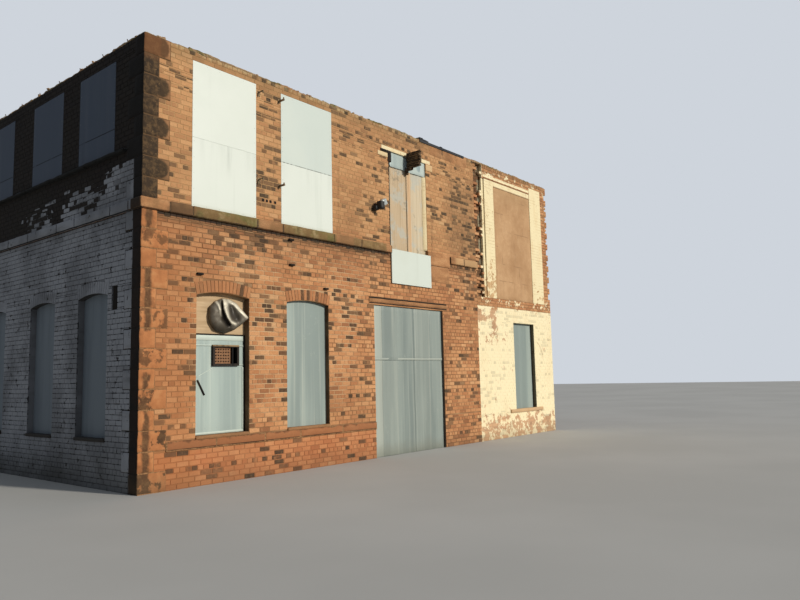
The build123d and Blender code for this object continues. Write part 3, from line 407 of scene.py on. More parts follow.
# %% Weather on the back
def weather_back(f, colour):
    rough = f.ragged(0.5, 1.6)
    colour = f.mix(f.step(f.noise(0.4, 4.0), 0.4, 0.7, 0.0, 0.4), colour, (112, 84, 62))
    streak = f.noise(1.0, 4.0, stretch=(4.0, 4.0, 0.3), shift=5.0)
    colour = f.mix(f.step(streak, 0.55, 0.78, 0.0, 0.35), colour, SOOT_AND_SHADE)
    colour = f.mix(f.step(rough.z, HEAD - 0.5, HEAD, 0.0, 0.5), colour, (96, 84, 58))
    return f.mix(f.step(rough.z, 0.8, 0.05, 0.0, 0.55), colour, (74, 60, 42))


WEATHER = {"front": weather_front, "left": weather_left, "bay": weather_bay, "back": weather_back}
print("walls with weather", sorted(WEATHER))

# %% [markdown]
# ## Brick and mortar
#
# Each brick carries two numbers from the wall that lays it: tone, its colour from the kiln, and burnt,
# how far it is one of the dark overburnt ones. The material turns them into colour, and adds sand grain
# and pits. Mortar has no such numbers. It was pointed anew round the front's lower windows, and is dark
# on the side with soot and painted shade. The right reveals of the front's arched windows carry painted
# shade.

# %% Brick materials
def brick_material(wall):
    f = Finish(f"brick {wall}")
    tone = f.attribute("tone")
    f.colour = f.ramp(tone, (0.0, (140, 92, 60)), (0.3, (180, 122, 80)), (0.6, (198, 143, 97)),
                      (0.85, (208, 156, 110)), (1.0, (206, 162, 118)))
    grain = f.noise(38.0, 6.0, rough=0.7)
    f.lay(f.step(grain, 0.35, 0.7, 0.35, 0.0), (128, 88, 58))
    patchy = f.noise(9.0, 3.0, shift=1.0)
    f.lay(f.step(patchy, 0.5, 0.75, 0.0, 0.25), (208, 162, 114))
    burnt = f.ramp(f.noise(16.0, 4.0), (0.3, (34, 29, 22)), (0.6, (62, 52, 38)), (0.8, (102, 84, 58)))
    each = f.math("FRACT", tone * 53.7)
    f.colour = weather_left(f, f.colour, each=each) if wall == "left" else WEATHER[wall](f, f.colour)
    if wall != "left":
        charred = f.attribute("burnt") * f.step(f.noise(7.0, 4.0, shift=5.0), 0.28, 0.45, 0.55, 1.0)
        f.lay(charred * (0.25 if wall == "bay" else 0.92), burnt)
    pits = f.cells(60.0) * 0.5
    return f.done(f.colour, f.step(grain, 0.3, 0.7, 0.82, 0.97), grain + pits, 0.5, 0.003)


bricks = {wall: brick_material(wall) for wall in WEATHER}

# %% Mortar materials
def mortar_material(wall):
    f = Finish(f"mortar {wall}")
    grain = f.noise(55.0, 5.0, rough=0.75)
    f.colour = f.ramp(f.noise(1.6, 5.0), (0.3, (112, 82, 54)), (0.5, (148, 110, 76)), (0.75, (186, 150, 108)))
    if wall == "front":
        new = f.patch(f.ragged(0.8, 1.5), (LEFT + 0.7, LEFT + 5.4), (1.2, 4.3), 0.3)
        new *= f.step(f.noise(1.2, 4.0, shift=12.0), 0.42, 0.6)
        f.lay(new * 0.75, (222, 188, 146))
    f.lay(f.step(grain, 0.4, 0.65, 0.3, 0.0), (100, 78, 56))
    if wall == "front":
        f.lay(f.step(f.z, STRING_TOP - 0.5, STRING_TOP + 0.3, 0.0, 0.68), (182, 140, 96))
    if wall == "left":
        f.colour = f.mix(0.42, weather_left(f, f.colour, 0.46), (36, 36, 36))
        return f.done(f.colour, 0.97, grain, 0.8, 0.004)
    f.colour = WEATHER[wall](f, f.colour)
    if wall == "back":
        # The back wall's end on the side takes the side's near black: soot and painted shade.
        end = f.step(f.x, LEFT + 0.01, LEFT + 0.004) * f.step(f.y, BACK - 0.02, BACK - 0.04)
        f.lay(end, f.mix(f.step(f.z, STRING_TOP - 0.1, STRING_TOP), (62, 61, 60), (28, 27, 25)))
    if wall == "front":
        # The front wall's faces on the side take the side's near black: soot and painted shade.
        far_side = f.step(f.x, LEFT + 0.34, LEFT + 0.3) * f.step(f.y, FRONT + 0.5, FRONT + 0.6)
        f.lay(far_side, (62, 61, 60))
        end = f.step(f.x, LEFT + 0.01, LEFT + 0.004) * f.step(f.y, FRONT + 0.02, FRONT + 0.04)
        f.lay(end, (28, 27, 25))
        # Painted shade in the right reveals of the two arched windows, which face away from the key light.
        jamb_shade = (f.between(f.x, LEFT + 2.225, LEFT + 2.245, 0.003)
                 + f.between(f.x, LEFT + 4.318, LEFT + 4.338, 0.003))
        jamb_shade *= f.step(f.y, FRONT + 0.004, FRONT + 0.012, 0.0, 0.72)
        f.lay(jamb_shade, (38, 27, 19))
    return f.done(f.colour, 0.97, grain, 0.8, 0.004)


mortars = {wall: mortar_material(wall) for wall in WEATHER}

# %% [markdown]
# ## Stone
#
# Sandstone is warm brown where it is clean and black where rain never reaches it. One function gives the
# clean stone, and each kind of dressed stone lays its own dirt over that, with painted shade on the side
# wall.

# %% Sandstone
def stone_body(f):
    """Clean sandstone: warm brown beds, each stone with its own tone."""
    grain = f.noise(30.0, 6.0, rough=0.7)
    bed = f.noise(2.2, 5.0, stretch=(1, 1, 2.5))
    colour = f.ramp(bed, (0.3, (150, 106, 70)), (0.5, (178, 128, 86)), (0.7, (196, 148, 104)))
    colour = f.mix(f.attribute("tone"), colour, (136, 100, 68))
    colour = f.mix(f.step(grain, 0.4, 0.65, 0.3, 0.0), colour, (98, 72, 50))
    return (colour, grain + bed * 2.0)


def sandstone_material():
    f = Finish("sandstone")
    f.colour, relief = stone_body(f)
    f.lay(f.step(f.noise(1.2, 5.0, shift=5.0), 0.48, 0.66, 0.0, 0.5), (104, 78, 52))
    low = f.step(f.ragged(0.3, 3.0).z, 0.7, 0.0, 0.0, 0.4)
    f.lay(low, (84, 68, 48))
    f.lay(f.step(f.x, LEFT + BAY, LEFT + BAY + 0.1, 0.0, 0.6), (218, 186, 144))
    # Sills on the side wall are near black: soot and painted shade.
    side = f.step(f.x, LEFT + 0.36, LEFT + 0.34) * f.step(f.y, FRONT + 0.5, FRONT + 0.52)
    side *= f.step(f.y, BACK - 0.5, BACK - 0.52)
    f.lay(side * 0.97, (52, 51, 49))
    return f.done(f.colour, 0.95, relief, 0.6, 0.006)


sandstone = sandstone_material()

# %% [markdown]
# ## Dirt and painted shade of the corner stones and the band
#
# Above the band each corner stone has a round black crust in the middle of its face, an ellipse worked
# out from the height within the stone. Below the band the crust comes in blotches. The band itself is
# green under the windows, where water drips, and brown under the piers. On the side wall the stones are
# near black with soot and painted shade, the band's underside there carries painted shade, and so does
# the plinth's top under the sills.

# %% Corner stones
def quoin_material():
    """Corner stones: black next to the corner above the band, blotched below it. On the side they are near
    black with soot and painted shade, and whitewashed further back.
    """
    f = Finish("corner sandstone")
    f.colour, relief = stone_body(f)
    rough = f.ragged(0.10, 7.0)
    upper = f.step(f.z, STRING_TOP - 0.1, STRING_TOP)
    orange = f.ramp(f.noise(4.0, 6.0, rough=0.65, shift=2.0), (0.3, (148, 92, 54)), (0.5, (178, 114, 69)),
                    (0.7, (194, 136, 88)))
    f.lay((1.0 - upper) * 0.75, orange)
    edge = rough.x + f.noise(5.0, 4.0, shift=4.0) * 0.1
    strip = f.step(edge, LEFT + 0.28, LEFT + 0.36, 0.97, 0.12)
    local = f.math("FRACT", (rough.z - STRING_TOP) / ((HEAD - STRING_TOP) / 8))
    local = (local - 0.5) / 0.54
    across = (edge - (LEFT + 0.35)) / 0.2
    blob = f.math("SQRT", local * local + across * across)
    blob = f.step(blob, 1.05, 0.75) * f.step(f.x, LEFT + 0.2, LEFT + 0.24, 0.0, 0.97)
    strip = f.most(strip, blob)
    blotch = f.step(f.noise(3.2, 5.0, rough=0.6, shift=9.0), 0.5, 0.55)
    lower = blotch * f.attribute("dark") * 0.92
    tongue = (f.between(rough.x, LEFT + 0.06, LEFT + 0.19, 0.03)
              * f.step(f.noise(2.3, 4.0, stretch=(1, 1, 0.7), shift=5.0), 0.47, 0.54, 0.0, 0.8))
    lower = f.most(lower, tongue)
    soot = strip * upper + lower * (1.0 - upper)
    dark = f.mix(f.step(f.noise(9.0, 6.0, rough=0.7, shift=7.0), 0.44, 0.62, 0.0, 0.8), (46, 37, 27),
                 (92, 72, 48))
    dark = f.mix(f.step(f.noise(17.0, 5.0, rough=0.75, shift=1.0), 0.6, 0.7, 0.0, 0.7), dark, (146, 116, 78))
    dark = f.mix(f.step(f.z, HEAD - 0.5, HEAD - 0.3, 0.0, 0.6), dark, (120, 78, 46))
    tail = f.step(rough.x, LEFT + 0.28, LEFT + 0.32)
    dark = f.mix(tail * 0.4, dark, (70, 54, 36))
    f.lay(soot, dark)
    # Near black on the side: soot and painted shade.
    side = f.step(f.x, LEFT - 0.004, LEFT - 0.010)
    side *= f.step(f.y, FRONT - 0.012, FRONT - 0.004)
    f.lay(side * 0.97, (22, 20, 18))
    f.lay(side, whitewash(f, f.colour))
    low = f.step(f.ragged(0.3, 3.0).z, 0.5, 0.0, 0.0, 0.45)
    f.lay(low, (84, 68, 48))
    return f.done(f.colour, 0.95, relief, 0.7, 0.006)


corner_stone = quoin_material()

# %% Stone bands
def band_material():
    """The string course: orange at the corner, then sooty, green under windows and brown under piers. On the
    side its end is near black with soot and painted shade, with painted shade on its underside, and the
    plinth's top carries painted shade under the sills.
    """
    f = Finish("band sandstone")
    f.colour, relief = stone_body(f)
    rough = f.ragged(0.22, 5.0)
    green = f.ramp(f.noise(6.0, 6.0, rough=0.7), (0.34, (66, 62, 38)), (0.5, (104, 96, 58)),
                   (0.62, (140, 126, 92)))
    fresh = f.most(f.between(rough.x, LEFT + 1.75, LEFT + 2.4, 0.15),
                   f.between(rough.x, LEFT + 4.0, LEFT + 4.5, 0.15))
    green = f.mix(fresh * 0.5, green, (86, 92, 44))
    high = f.step(f.z, STRING_BOTTOM - 0.2, STRING_BOTTOM - 0.1)
    for u0, u1, much in ((0.98, 2.40, 0.86), (3.06, 4.50, 0.86), (5.1, 6.2, 0.6)):
        moss = f.between(rough.x, LEFT + u0, LEFT + u1, 0.05) * high * much
        f.lay(moss, green)
    sooty = f.between(rough.x, LEFT + 0.46, LEFT + 0.98, 0.05) * high
    f.lay(sooty * 0.8, (74, 58, 40))
    low = 1.0 - high
    browner = f.step(f.noise(2.6, 5.0, shift=2.0), 0.46, 0.60, 0.0, 0.55)
    f.lay(high * browner, (120, 90, 58))
    f.lay(low * 0.62, (150, 92, 57))
    # Painted shade along the plinth's top, under the sills.
    top = f.step(rough.z, 0.77, 0.81) * low
    f.lay(top * 0.6, (70, 50, 34))
    foot = f.step(f.z, 0.676, 0.664) * low
    f.lay(foot * 0.85, (48, 34, 24))
    # Painted shade on the band's underside where it stands out from the side wall.
    underside_shade = f.step(f.x, LEFT - 0.02, LEFT - 0.04) * f.step(f.z, STRING_BOTTOM + 0.01, STRING_BOTTOM)
    f.lay(f.step(f.x, LEFT + 8.9, LEFT + 9.1) * 0.5, (204, 168, 122))
    # The band's end on the side is near black: soot and painted shade.
    side = f.step(f.x, LEFT - 0.010, LEFT - 0.020)
    side *= f.step(f.y, FRONT - 0.055, FRONT - 0.04)
    f.lay(side * 0.92, (36, 33, 29))
    f.lay(side, whitewash(f, f.colour))
    f.lay(underside_shade * 0.9, (30, 27, 24))
    return f.done(f.colour, 0.95, relief, 0.7, 0.008)


band_stone = band_material()

# %% Stone joints, and stone with soot and painted shade
def joint_material():
    """Dark open joints between stones, seen only where two worn stones meet."""
    f = Finish("stone joints")
    grain = f.noise(40.0, 5.0)
    f.colour = f.ramp(grain, (0.35, (44, 34, 24)), (0.65, (96, 74, 52)))
    return f.done(f.colour, 0.97, grain, 0.8, 0.004)


def corner_joint_material():
    """Joints of the corner stones and the plinth: brown mortar on the front, near black on the side with
    soot and painted shade.
    """
    f = Finish("corner joints")
    grain = f.noise(40.0, 5.0)
    f.colour = f.ramp(grain, (0.35, (104, 76, 50)), (0.65, (158, 118, 80)))
    f.lay(f.step(f.z, STRING_TOP, STRING_TOP + 0.01, 0.0, 0.85), (78, 60, 40))
    f.lay(f.step(f.x, LEFT - 0.004, LEFT - 0.008, 0.0, 0.95), (24, 22, 20))
    return f.done(f.colour, 0.97, grain, 0.8, 0.004)


def sooty_shaded_stone_material():
    """Ledge on the side wall: black with soot and painted shade, paler along its top edge."""
    f = Finish("sooty shaded stone")
    grain = f.noise(22.0, 6.0, rough=0.7)
    f.colour = f.ramp(grain, (0.35, (16, 16, 15)), (0.65, (38, 37, 34)))
    top = f.step(f.z, 5.826, 5.836) * f.step(f.noise(1.1, 3.0, shift=4.0), 0.46, 0.56, 0.0, 0.7)
    return f.done(f.mix(top, f.colour, (104, 110, 118)), 0.95, grain, 0.7, 0.005)


stone_joints = joint_material()
corner_joints = corner_joint_material()
sooty_shaded_stone = sooty_shaded_stone_material()

# %% [markdown]
# ## Painted dressings and render
#
# The painted dressings are thick cream gloss gone chalky, which flakes at the foot of the pilasters. The
# panel between them is render, and the joints of the blocks behind it show through as faint lines, which
# two PINGPONG nodes draw in rows and across. Brown lines under the beam, at its end and at the step of
# the left pilaster are painted shade.

# %% Cream paint
def cream_material():
    f = Finish("cream paint")
    rough = f.ragged(0.5, 3.0)
    under = f.ramp(f.noise(4.0, 5.0), (0.3, (164, 126, 86)), (0.7, (204, 170, 124)))
    paint = f.mix(f.step(f.noise(1.4, 5.0, stretch=(3, 3, 0.7)), 0.45, 0.75, 0.0, 0.5), (226, 212, 172),
                  (212, 186, 140))
    paint = f.mix(f.step(f.noise(22.0, 5.0, rough=0.7, shift=4.0), 0.56, 0.72, 0.0, 0.4), paint,
                  (168, 136, 94))
    course = f.math("PINGPONG", f.z, COURSE / 2)
    line = f.step(course, 0.004, 0.01, 0.5, 0.0) * f.step(f.noise(3.0, 4.0), 0.45, 0.6)
    paint = f.mix(line, paint, (176, 146, 102))
    first = f.between(f.x, LEFT + BAY, LEFT + BAY + 1.075, 0.02)
    foot = f.step(rough.z, BAND_TOP + 0.2, BAND_TOP + 1.6, 0.42, 0.33)
    foot += first * f.step(rough.z, BAND_TOP + 1.5, BAND_TOP + 0.5, 0.0, 0.09)
    bare = f.step(foot - f.noise(5.0, 7.0, rough=0.7), -0.01, 0.02)
    f.colour = f.mix(bare, paint, under)
    streak = f.noise(1.0, 5.0, stretch=(9, 9, 0.5), shift=3.0)
    f.lay(f.step(streak, 0.6, 0.8, 0.0, 0.5), (150, 130, 92))
    # Painted shade at the step where the left pilaster stands out.
    line = f.between(f.x, LEFT + BAY + 0.522, LEFT + BAY + 0.539, 0.004)
    f.lay(line * f.step(f.z, BAND_TOP + 0.9, BAND_TOP + 1.2, 0.0, 0.6), (120, 96, 64))
    lost = f.step(f.noise(5.0, 6.0, rough=0.7, shift=2.0), 0.6, 0.64, 0.0, 0.8)
    f.lay(lost * first, (168, 132, 92))
    # Painted shade under the beam and at its end.
    inside = f.between(f.x, LEFT + BAY + 1.03, LEFT + LENGTH - 1.08, 0.01)
    beam_underside_shade = f.between(f.z, BEAM_BOTTOM - 0.02, BEAM_BOTTOM + 0.026, 0.006)
    beam_end_shade = (f.between(f.x, LEFT + LENGTH - 1.135, LEFT + LENGTH - 1.09, 0.006)
                * f.between(f.z, BEAM_BOTTOM, BEAM_TOP + 0.1, 0.01))
    lines = f.most(beam_underside_shade * inside, beam_end_shade)
    f.lay(lines * 0.62, (138, 98, 62))
    specks = (f.step(f.noise(13.0, 5.0, rough=0.7, shift=8.0), 0.6, 0.66, 0.0, 0.7) * f.most(first, 0.45)
              * f.step(rough.z, 5.6, 6.4, 0.3, 1.0))
    f.lay(specks, (110, 88, 58))
    pad_stone = f.step(f.x, LEFT + 8.3, LEFT + 8.2) * f.step(f.z, 7.222, 7.216, 0.1, 0.55)
    pad_stone *= f.step(f.z, 6.85, 6.9, 0.3, 1.0)
    f.lay(pad_stone, (186, 156, 112))
    right_pad = f.between(f.x, LEFT + 7.85, LEFT + 8.3, 0.01) * f.step(f.z, 7.222, 7.216, 0.0, 0.5)
    f.lay(right_pad, (188, 146, 100))
    return f.done(f.colour, 0.7, f.noise(30.0, 4.0) - bare * 0.8, 0.5, 0.003)


cream = cream_material()

# %% Brown render
def render_material():
    """Render over blockwork: the blocks' joints show as faint lines."""
    f = Finish("brown render")
    f.colour = f.ramp(f.noise(1.1, 6.0, rough=0.65), (0.3, (164, 128, 92)), (0.55, (188, 152, 114)),
                      (0.75, (198, 164, 126)))
    f.lay(f.step(f.z, 6.6, 7.3, 0.0, 0.3), (150, 126, 90))
    specks = f.step(f.cells(30.0), 0.12, 0.3, 0.3, 0.0)
    f.lay(specks, (150, 112, 82))
    f.lay(f.step(f.noise(1.0, 5.0, stretch=(6, 6, 0.6)), 0.55, 0.8, 0.0, 0.35), (140, 108, 80))
    wavy = f.ragged(0.03, 4.0)
    row = f.math("PINGPONG", wavy.z, 0.25)
    across = f.math("PINGPONG", wavy.x + f.step(f.math("MODULO", wavy.z, 1.0), 0.49, 0.51) * 0.3, 0.31)
    joints = f.math("MINIMUM", row, across)
    shown = f.step(f.noise(1.7, 3.0, shift=6.0), 0.50, 0.62, 0.0, 0.42)
    f.lay(f.step(f.noise(7.0, 6.0, rough=0.75, shift=2.0), 0.42, 0.66, 0.3, 0.0), (158, 120, 82))
    f.lay(f.step(joints, 0.006, 0.018, 1.0, 0.0) * shown, (112, 86, 62))
    return f.done(f.colour, 0.95, f.noise(70.0, 5.0), 0.6, 0.003)


render = render_material()

# %% [markdown]
# ## Boards and sheets
#
# The windows are closed with painted boards, the doors with old boards and galvanised sheets. Rain draws
# long vertical streaks on all of them, so each pattern is noise stretched along z.

# %% Painted boards
def white_board_material():
    """Painted boards: the first warm white, the second's top sheet greyer, with drips below each seam."""
    f = Finish("white board")
    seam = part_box("front_upper_boards")[0][2] + 1.284
    top = f.step(f.z, seam - 0.004, seam + 0.004)
    second = f.step(f.x, LEFT + 2.7, LEFT + 2.8)
    plain = f.mix(second * top, (208, 214, 206), (190, 200, 194))
    plain = f.mix(f.step(f.x, LEFT + 6.0, LEFT + 6.1), plain, (214, 224, 219))
    f.colour = f.mix(f.step(f.noise(0.7, 3.0, shift=3.0), 0.4, 0.7, 0.0, 0.4), plain, (202, 209, 200))
    f.lay(f.step(f.streaks(6.0, 0.25, 2.0), 0.56, 0.74, 0.0, 0.3), (186, 194, 184))
    drip = f.step(f.streaks(5.5, 0.35, 8.0), 0.46, 0.68)
    run = f.step(f.z, seam - 0.75, seam - 0.02) * f.step(f.z, seam + 0.002, seam - 0.002)
    wet = f.most(f.between(f.x, LEFT + 1.68, LEFT + 2.08, 0.1), f.between(f.x, LEFT + 3.8, LEFT + 4.22, 0.1))
    wet = drip * run * f.most(wet, 0.25)
    f.lay(wet * 0.62, (156, 164, 156))
    crack = f.between(f.z, seam - 0.003, seam + 0.012, 0.002) * second
    crack *= f.step(f.noise(14.0, 2.0, stretch=(1, 1, 0)), 0.42, 0.52, 0.1, 0.65)
    f.lay(crack, (58, 56, 46))
    edge = f.step(f.z, STRING_TOP + 0.10, STRING_TOP - 0.02, 0.0, 0.30)
    f.lay(edge, (160, 162, 140))
    return f.done(f.colour, f.step(f.noise(2.0, 3.0), 0.3, 0.7, 0.45, 0.62), f.noise(24.0, 3.0), 0.15, 0.002)


def side_board_material():
    f = Finish("side board")
    upper = f.step(f.z, STRING_TOP, STRING_TOP + 0.3)
    # Dark slate, darker on the upper storey; partly painted shade, as these boards face away from the key
    # light.
    plain = f.mix(upper, (116, 126, 134), (68, 79, 95))
    f.colour = f.mix(f.step(f.streaks(3.0, 0.3, 2.0), 0.42, 0.7, 0.0, 0.45), plain, (84, 92, 104))
    f.lay(f.step(f.streaks(9.0, 0.4, 6.0), 0.6, 0.8, 0.0, 0.35), (52, 56, 62))
    seam = f.between(f.z, 6.296, 6.312, 0.002) * f.step(f.noise(1.4, 2.0, stretch=(1, 1, 0)), 0.42, 0.48)
    f.lay(seam * 0.9, (20, 20, 20))
    return f.done(f.colour, 0.6, f.noise(24.0, 3.0), 0.15, 0.002)


white_board = white_board_material()
side_board = side_board_material()

# %% Galvanised steel
def steel_material(name, base, pale, dark, second=0.0):
    f = Finish(name)
    wide = f.noise(1.0, 3.0, stretch=(2.3, 2.3, 0.16), shift=second)
    f.colour = f.mix(f.step(wide, 0.36, 0.62), dark, base)
    sheet = f.step(f.attribute("tone"), 0.0, 1.0, 0.0, 0.8)
    f.lay(sheet, pale)
    f.lay(f.step(f.streaks(11.0, 0.22, 4.0 + second), 0.5, 0.72, 0.0, 0.45), pale)
    spots = f.step(f.noise(5.0, 6.0, rough=0.75, shift=second), 0.6, 0.75, 0.0, 0.3)
    f.lay(spots, pale)
    rust = f.step(f.noise(2.1, 7.0, rough=0.7, shift=9.0), 0.72, 0.84, 0.0, 0.5)
    f.lay(rust, (120, 92, 66))
    low = f.step(f.ragged(0.4, 2.5).z, 0.4, 0.0, 0.0, 0.45)
    f.lay(low, (112, 110, 96))
    return f.done(f.colour, f.step(wide, 0.3, 0.7, 0.5, 0.68), f.noise(3.0, 3.0, stretch=(1, 1, 0.4)), 0.35,
                  0.02, metallic=0.2)


STEELS = {
    "steel sheet": (shade(152, 164, 158), shade(182, 188, 176), shade(132, 144, 140), 0.0),
    "pale steel sheet": (shade(164, 178, 172), shade(188, 198, 188), shade(146, 160, 156), 2.0),
    "bluish steel sheet": (shade(156, 171, 170), shade(176, 187, 182), shade(130, 146, 148), 3.0),
    "door steel": (shade(136, 146, 141), shade(170, 176, 166), shade(116, 127, 124), 5.0),
}
steel, pale_steel, head_steel, door_steel = [steel_material(name, *look) for name, look in STEELS.items()]

# %% Plywood and loading boards
def plywood_material():
    f = Finish("plywood")
    figure = f.noise(1.0, 6.0, stretch=(1.2, 1.2, 16.0), warp=0.6)
    f.colour = f.ramp(figure, (0.3, (164, 138, 104)), (0.5, (182, 156, 122)), (0.7, (194, 170, 136)))
    f.lay(f.step(f.noise(2.4, 5.0), 0.5, 0.75, 0.0, 0.45), (142, 120, 90))
    return f.done(f.colour, 0.8, figure, 0.3, 0.002)


def loading_board_material():
    """Two leaves of boards: tan with a blue-white bloom on the left, paler on the right."""
    f = Finish("loading boards")
    right = f.step(f.x, LEFT + 7.20, LEFT + 7.22)
    strip = f.between(f.x, LEFT + 7.145, LEFT + 7.268, 0.004)
    grain = f.noise(1.0, 6.0, stretch=(26.0, 26.0, 0.8))
    tan = f.ramp(grain, (0.3, (162, 141, 112)), (0.5, (182, 161, 132)), (0.75, (192, 171, 141)))
    pale = f.ramp(grain, (0.3, (176, 160, 133)), (0.5, (191, 175, 148)), (0.75, (201, 187, 160)))
    orange = f.ramp(grain, (0.3, (170, 138, 104)), (0.5, (194, 162, 126)), (0.75, (206, 176, 140)))
    f.colour = f.mix(strip, f.mix(right, tan, pale), orange)
    off = 1.0 - strip
    bloom = f.step(f.noise(2.6, 6.0, rough=0.65, shift=4.0), 0.47, 0.6, 0.0, 0.65)
    f.lay(bloom * off, (172, 176, 168))
    stain = f.step(f.noise(3.6, 6.0, rough=0.7, shift=9.0), 0.57, 0.68, 0.0, 0.6)
    f.lay(stain * off, (122, 116, 102))
    f.lay(f.step(f.streaks(8.0, 0.4, 1.0), 0.6, 0.78, 0.0, 0.25), (134, 112, 86))
    f.lay(f.between(f.x, LEFT + 6.44, LEFT + 6.48, 0.006), (204, 186, 152))
    return f.done(f.colour, 0.85, grain, 0.4, 0.003)


plywood = plywood_material()
loading_boards = loading_board_material()

# %% Old timber and the mortar of the wall head
def old_timber_material():
    """Rotten oak: dark layers with pale splintered edges where the timber has split along its grain."""
    f = Finish("old timber")
    grain = f.noise(1.0, 7.0, stretch=(30.0, 5.0, 46.0), rough=0.7)
    f.colour = f.ramp(grain, (0.3, (24, 18, 13)), (0.5, (60, 46, 33)), (0.66, (134, 108, 78)))
    f.lay(f.step(f.attribute("tone"), 0.5, 1.0, 0.0, 0.5), (124, 100, 72))
    return f.done(f.colour, 0.95, grain, 0.9, 0.012)


def mortar_bed_material():
    """The weathered top of the walls: grey-brown mortar, lumps of brick, and cushions of moss."""
    f = Finish("wall head mortar")
    grain = f.noise(22.0, 6.0, rough=0.7)
    f.colour = f.ramp(grain, (0.3, (84, 70, 52)), (0.5, (134, 114, 86)), (0.7, (172, 152, 118)))
    f.lay(f.step(f.noise(1.3, 4.0, shift=8.0), 0.46, 0.62, 0.0, 0.55), (186, 170, 138))
    f.lay(f.attribute("tone") * 0.7, (168, 116, 76))
    moss = f.step(f.noise(2.4, 6.0, rough=0.7, shift=3.0), 0.53, 0.62, 0.0, 0.85)
    f.lay(moss, f.mix(f.step(grain, 0.4, 0.6), (62, 62, 32), (110, 106, 58)))
    return f.done(f.colour, 0.97, grain, 0.9, 0.01)


old_timber = old_timber_material()
head_mortar = mortar_bed_material()

# %% [markdown]
# ## Iron, felt and the fittings
#
# Bare iron rusts to brown black, and roofing felt bleaches grey in patches. The cowl's metal takes its
# light and dark from a tone on its own points: painted highlights on its crests and painted shade in its
# fold, its hollow and at its foot. The lamp has a dark shell and a pale lens.

# %% Iron
def iron_material():
    f = Finish("rusty iron")
    flake = f.noise(40.0, 6.0, rough=0.7)
    f.colour = f.ramp(flake, (0.3, (34, 26, 22)), (0.5, (78, 52, 38)), (0.7, (128, 78, 46)))
    return f.done(f.colour, 0.85, flake, 0.6, 0.002, metallic=0.3)


def pin_material():
    """Wrought iron of the shutter pins: tan rust worn smooth on top."""
    f = Finish("worn iron")
    flake = f.noise(24.0, 6.0, rough=0.7)
    f.colour = f.ramp(flake, (0.3, (62, 48, 36)), (0.5, (118, 98, 72)), (0.7, (160, 138, 104)))
    return f.done(f.colour, 0.8, flake, 0.5, 0.002, metallic=0.1)


rusty_iron = iron_material()
worn_iron = pin_material()

# %% Felt and concrete
def felt_material():
    f = Finish("roofing felt")
    grit = f.noise(220.0, 3.0)
    f.colour = f.ramp(f.noise(0.6, 6.0), (0.3, (38, 40, 44)), (0.55, (62, 64, 68)), (0.75, (92, 94, 96)))
    f.lay(f.step(f.noise(1.1, 6.0, shift=8.0), 0.56, 0.7, 0.0, 0.8), MOSS)
    f.lay(f.step(grit, 0.4, 0.6, 0.25, 0.0), (28, 30, 32))
    return f.done(f.colour, 0.92, grit, 0.5, 0.002)


def concrete_material():
    f = Finish("concrete")
    grain = f.noise(25.0, 6.0)
    f.colour = f.ramp(f.noise(1.5, 5.0), (0.3, (120, 114, 104)), (0.7, (158, 152, 140)))
    return f.done(f.mix(f.step(grain, 0.4, 0.6, 0.3, 0.0), f.colour, (96, 90, 82)), 0.9, grain, 0.4, 0.003)


felt = felt_material()
concrete = concrete_material()

# %% Cowl, vent and grille
def cowl_material():
    """Sheet metal that was beaten flat in places: painted highlights on its crests, painted shade in its
    folds, and brown dirt.
    """
    f = Finish("cowl metal")
    dull = f.noise(6.0, 6.0, rough=0.7)
    # The tone carries painted highlights on the crests and painted shade in the fold, the hollow and below.
    fold = f.attribute("tone")
    f.colour = f.ramp(fold, (0.0, (30, 26, 22)), (0.35, (74, 68, 58)), (0.6, (124, 118, 106)),
                      (1.0, (232, 224, 202)))
    f.lay(f.step(dull, 0.45, 0.65, 0.0, 0.35), (66, 52, 38))
    f.lay(f.step(f.noise(14.0, 5.0, shift=3.0), 0.6, 0.74, 0.0, 0.5), (98, 70, 48))
    return f.done(f.colour, f.step(dull, 0.3, 0.7, 0.42, 0.65), dull, 0.3, 0.004, metallic=0.3)


def vent_material():
    """Frame of the vent: almost black, with bare tan wood along its top edge."""
    f = Finish("vent frame")
    flake = f.noise(30.0, 6.0, rough=0.7)
    f.colour = f.ramp(flake, (0.3, (20, 17, 15)), (0.6, (44, 36, 30)), (0.8, (78, 60, 44)))
    top = f.step(f.z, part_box("vent_frame")[1][2] - 0.032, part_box("vent_frame")[1][2] - 0.022)
    f.lay(top * f.step(f.noise(6.0, 4.0), 0.35, 0.5, 0.3, 0.9), (150, 124, 88))
    mullion = f.between(f.x, LEFT + 1.92, LEFT + 1.952, 0.002) * f.step(f.z, 2.42, 2.41)
    return f.done(f.mix(mullion * 0.9, f.colour, (8, 7, 6)), 0.85, flake, 0.5, 0.002)


def grille_material():
    f = Finish("vent grille")
    flake = f.noise(26.0, 6.0, rough=0.7)
    f.colour = f.ramp(flake, (0.3, (104, 74, 50)), (0.55, (140, 102, 72)), (0.75, (164, 124, 88)))
    return f.done(f.colour, 0.8, flake, 0.4, 0.002)


cowl_metal = cowl_material()
vent_iron = vent_material()
grille_plate = grille_material()

# %% Painted shade for dark gaps, and the lamp
def shadow_gap_material():
    """Near black: painted shade in gaps, holes and the side's slot, and the colour of old dark timber and
    the sawn irons.
    """
    f = Finish("dark gap")
    grain = f.noise(12.0, 5.0, stretch=(1, 1, 0.2))
    return f.done(f.ramp(grain, (0.35, (16, 13, 11)), (0.65, (38, 31, 24))), 0.95, grain, 0.5, 0.003)


def lamp_material():
    f = Finish("lamp shell")
    dirt = f.noise(18.0, 5.0)
    f.colour = f.ramp(dirt, (0.35, (22, 22, 22)), (0.6, (38, 38, 38)), (0.75, (62, 60, 56)))
    return f.done(f.colour, 0.6, dirt, 0.3, 0.001)


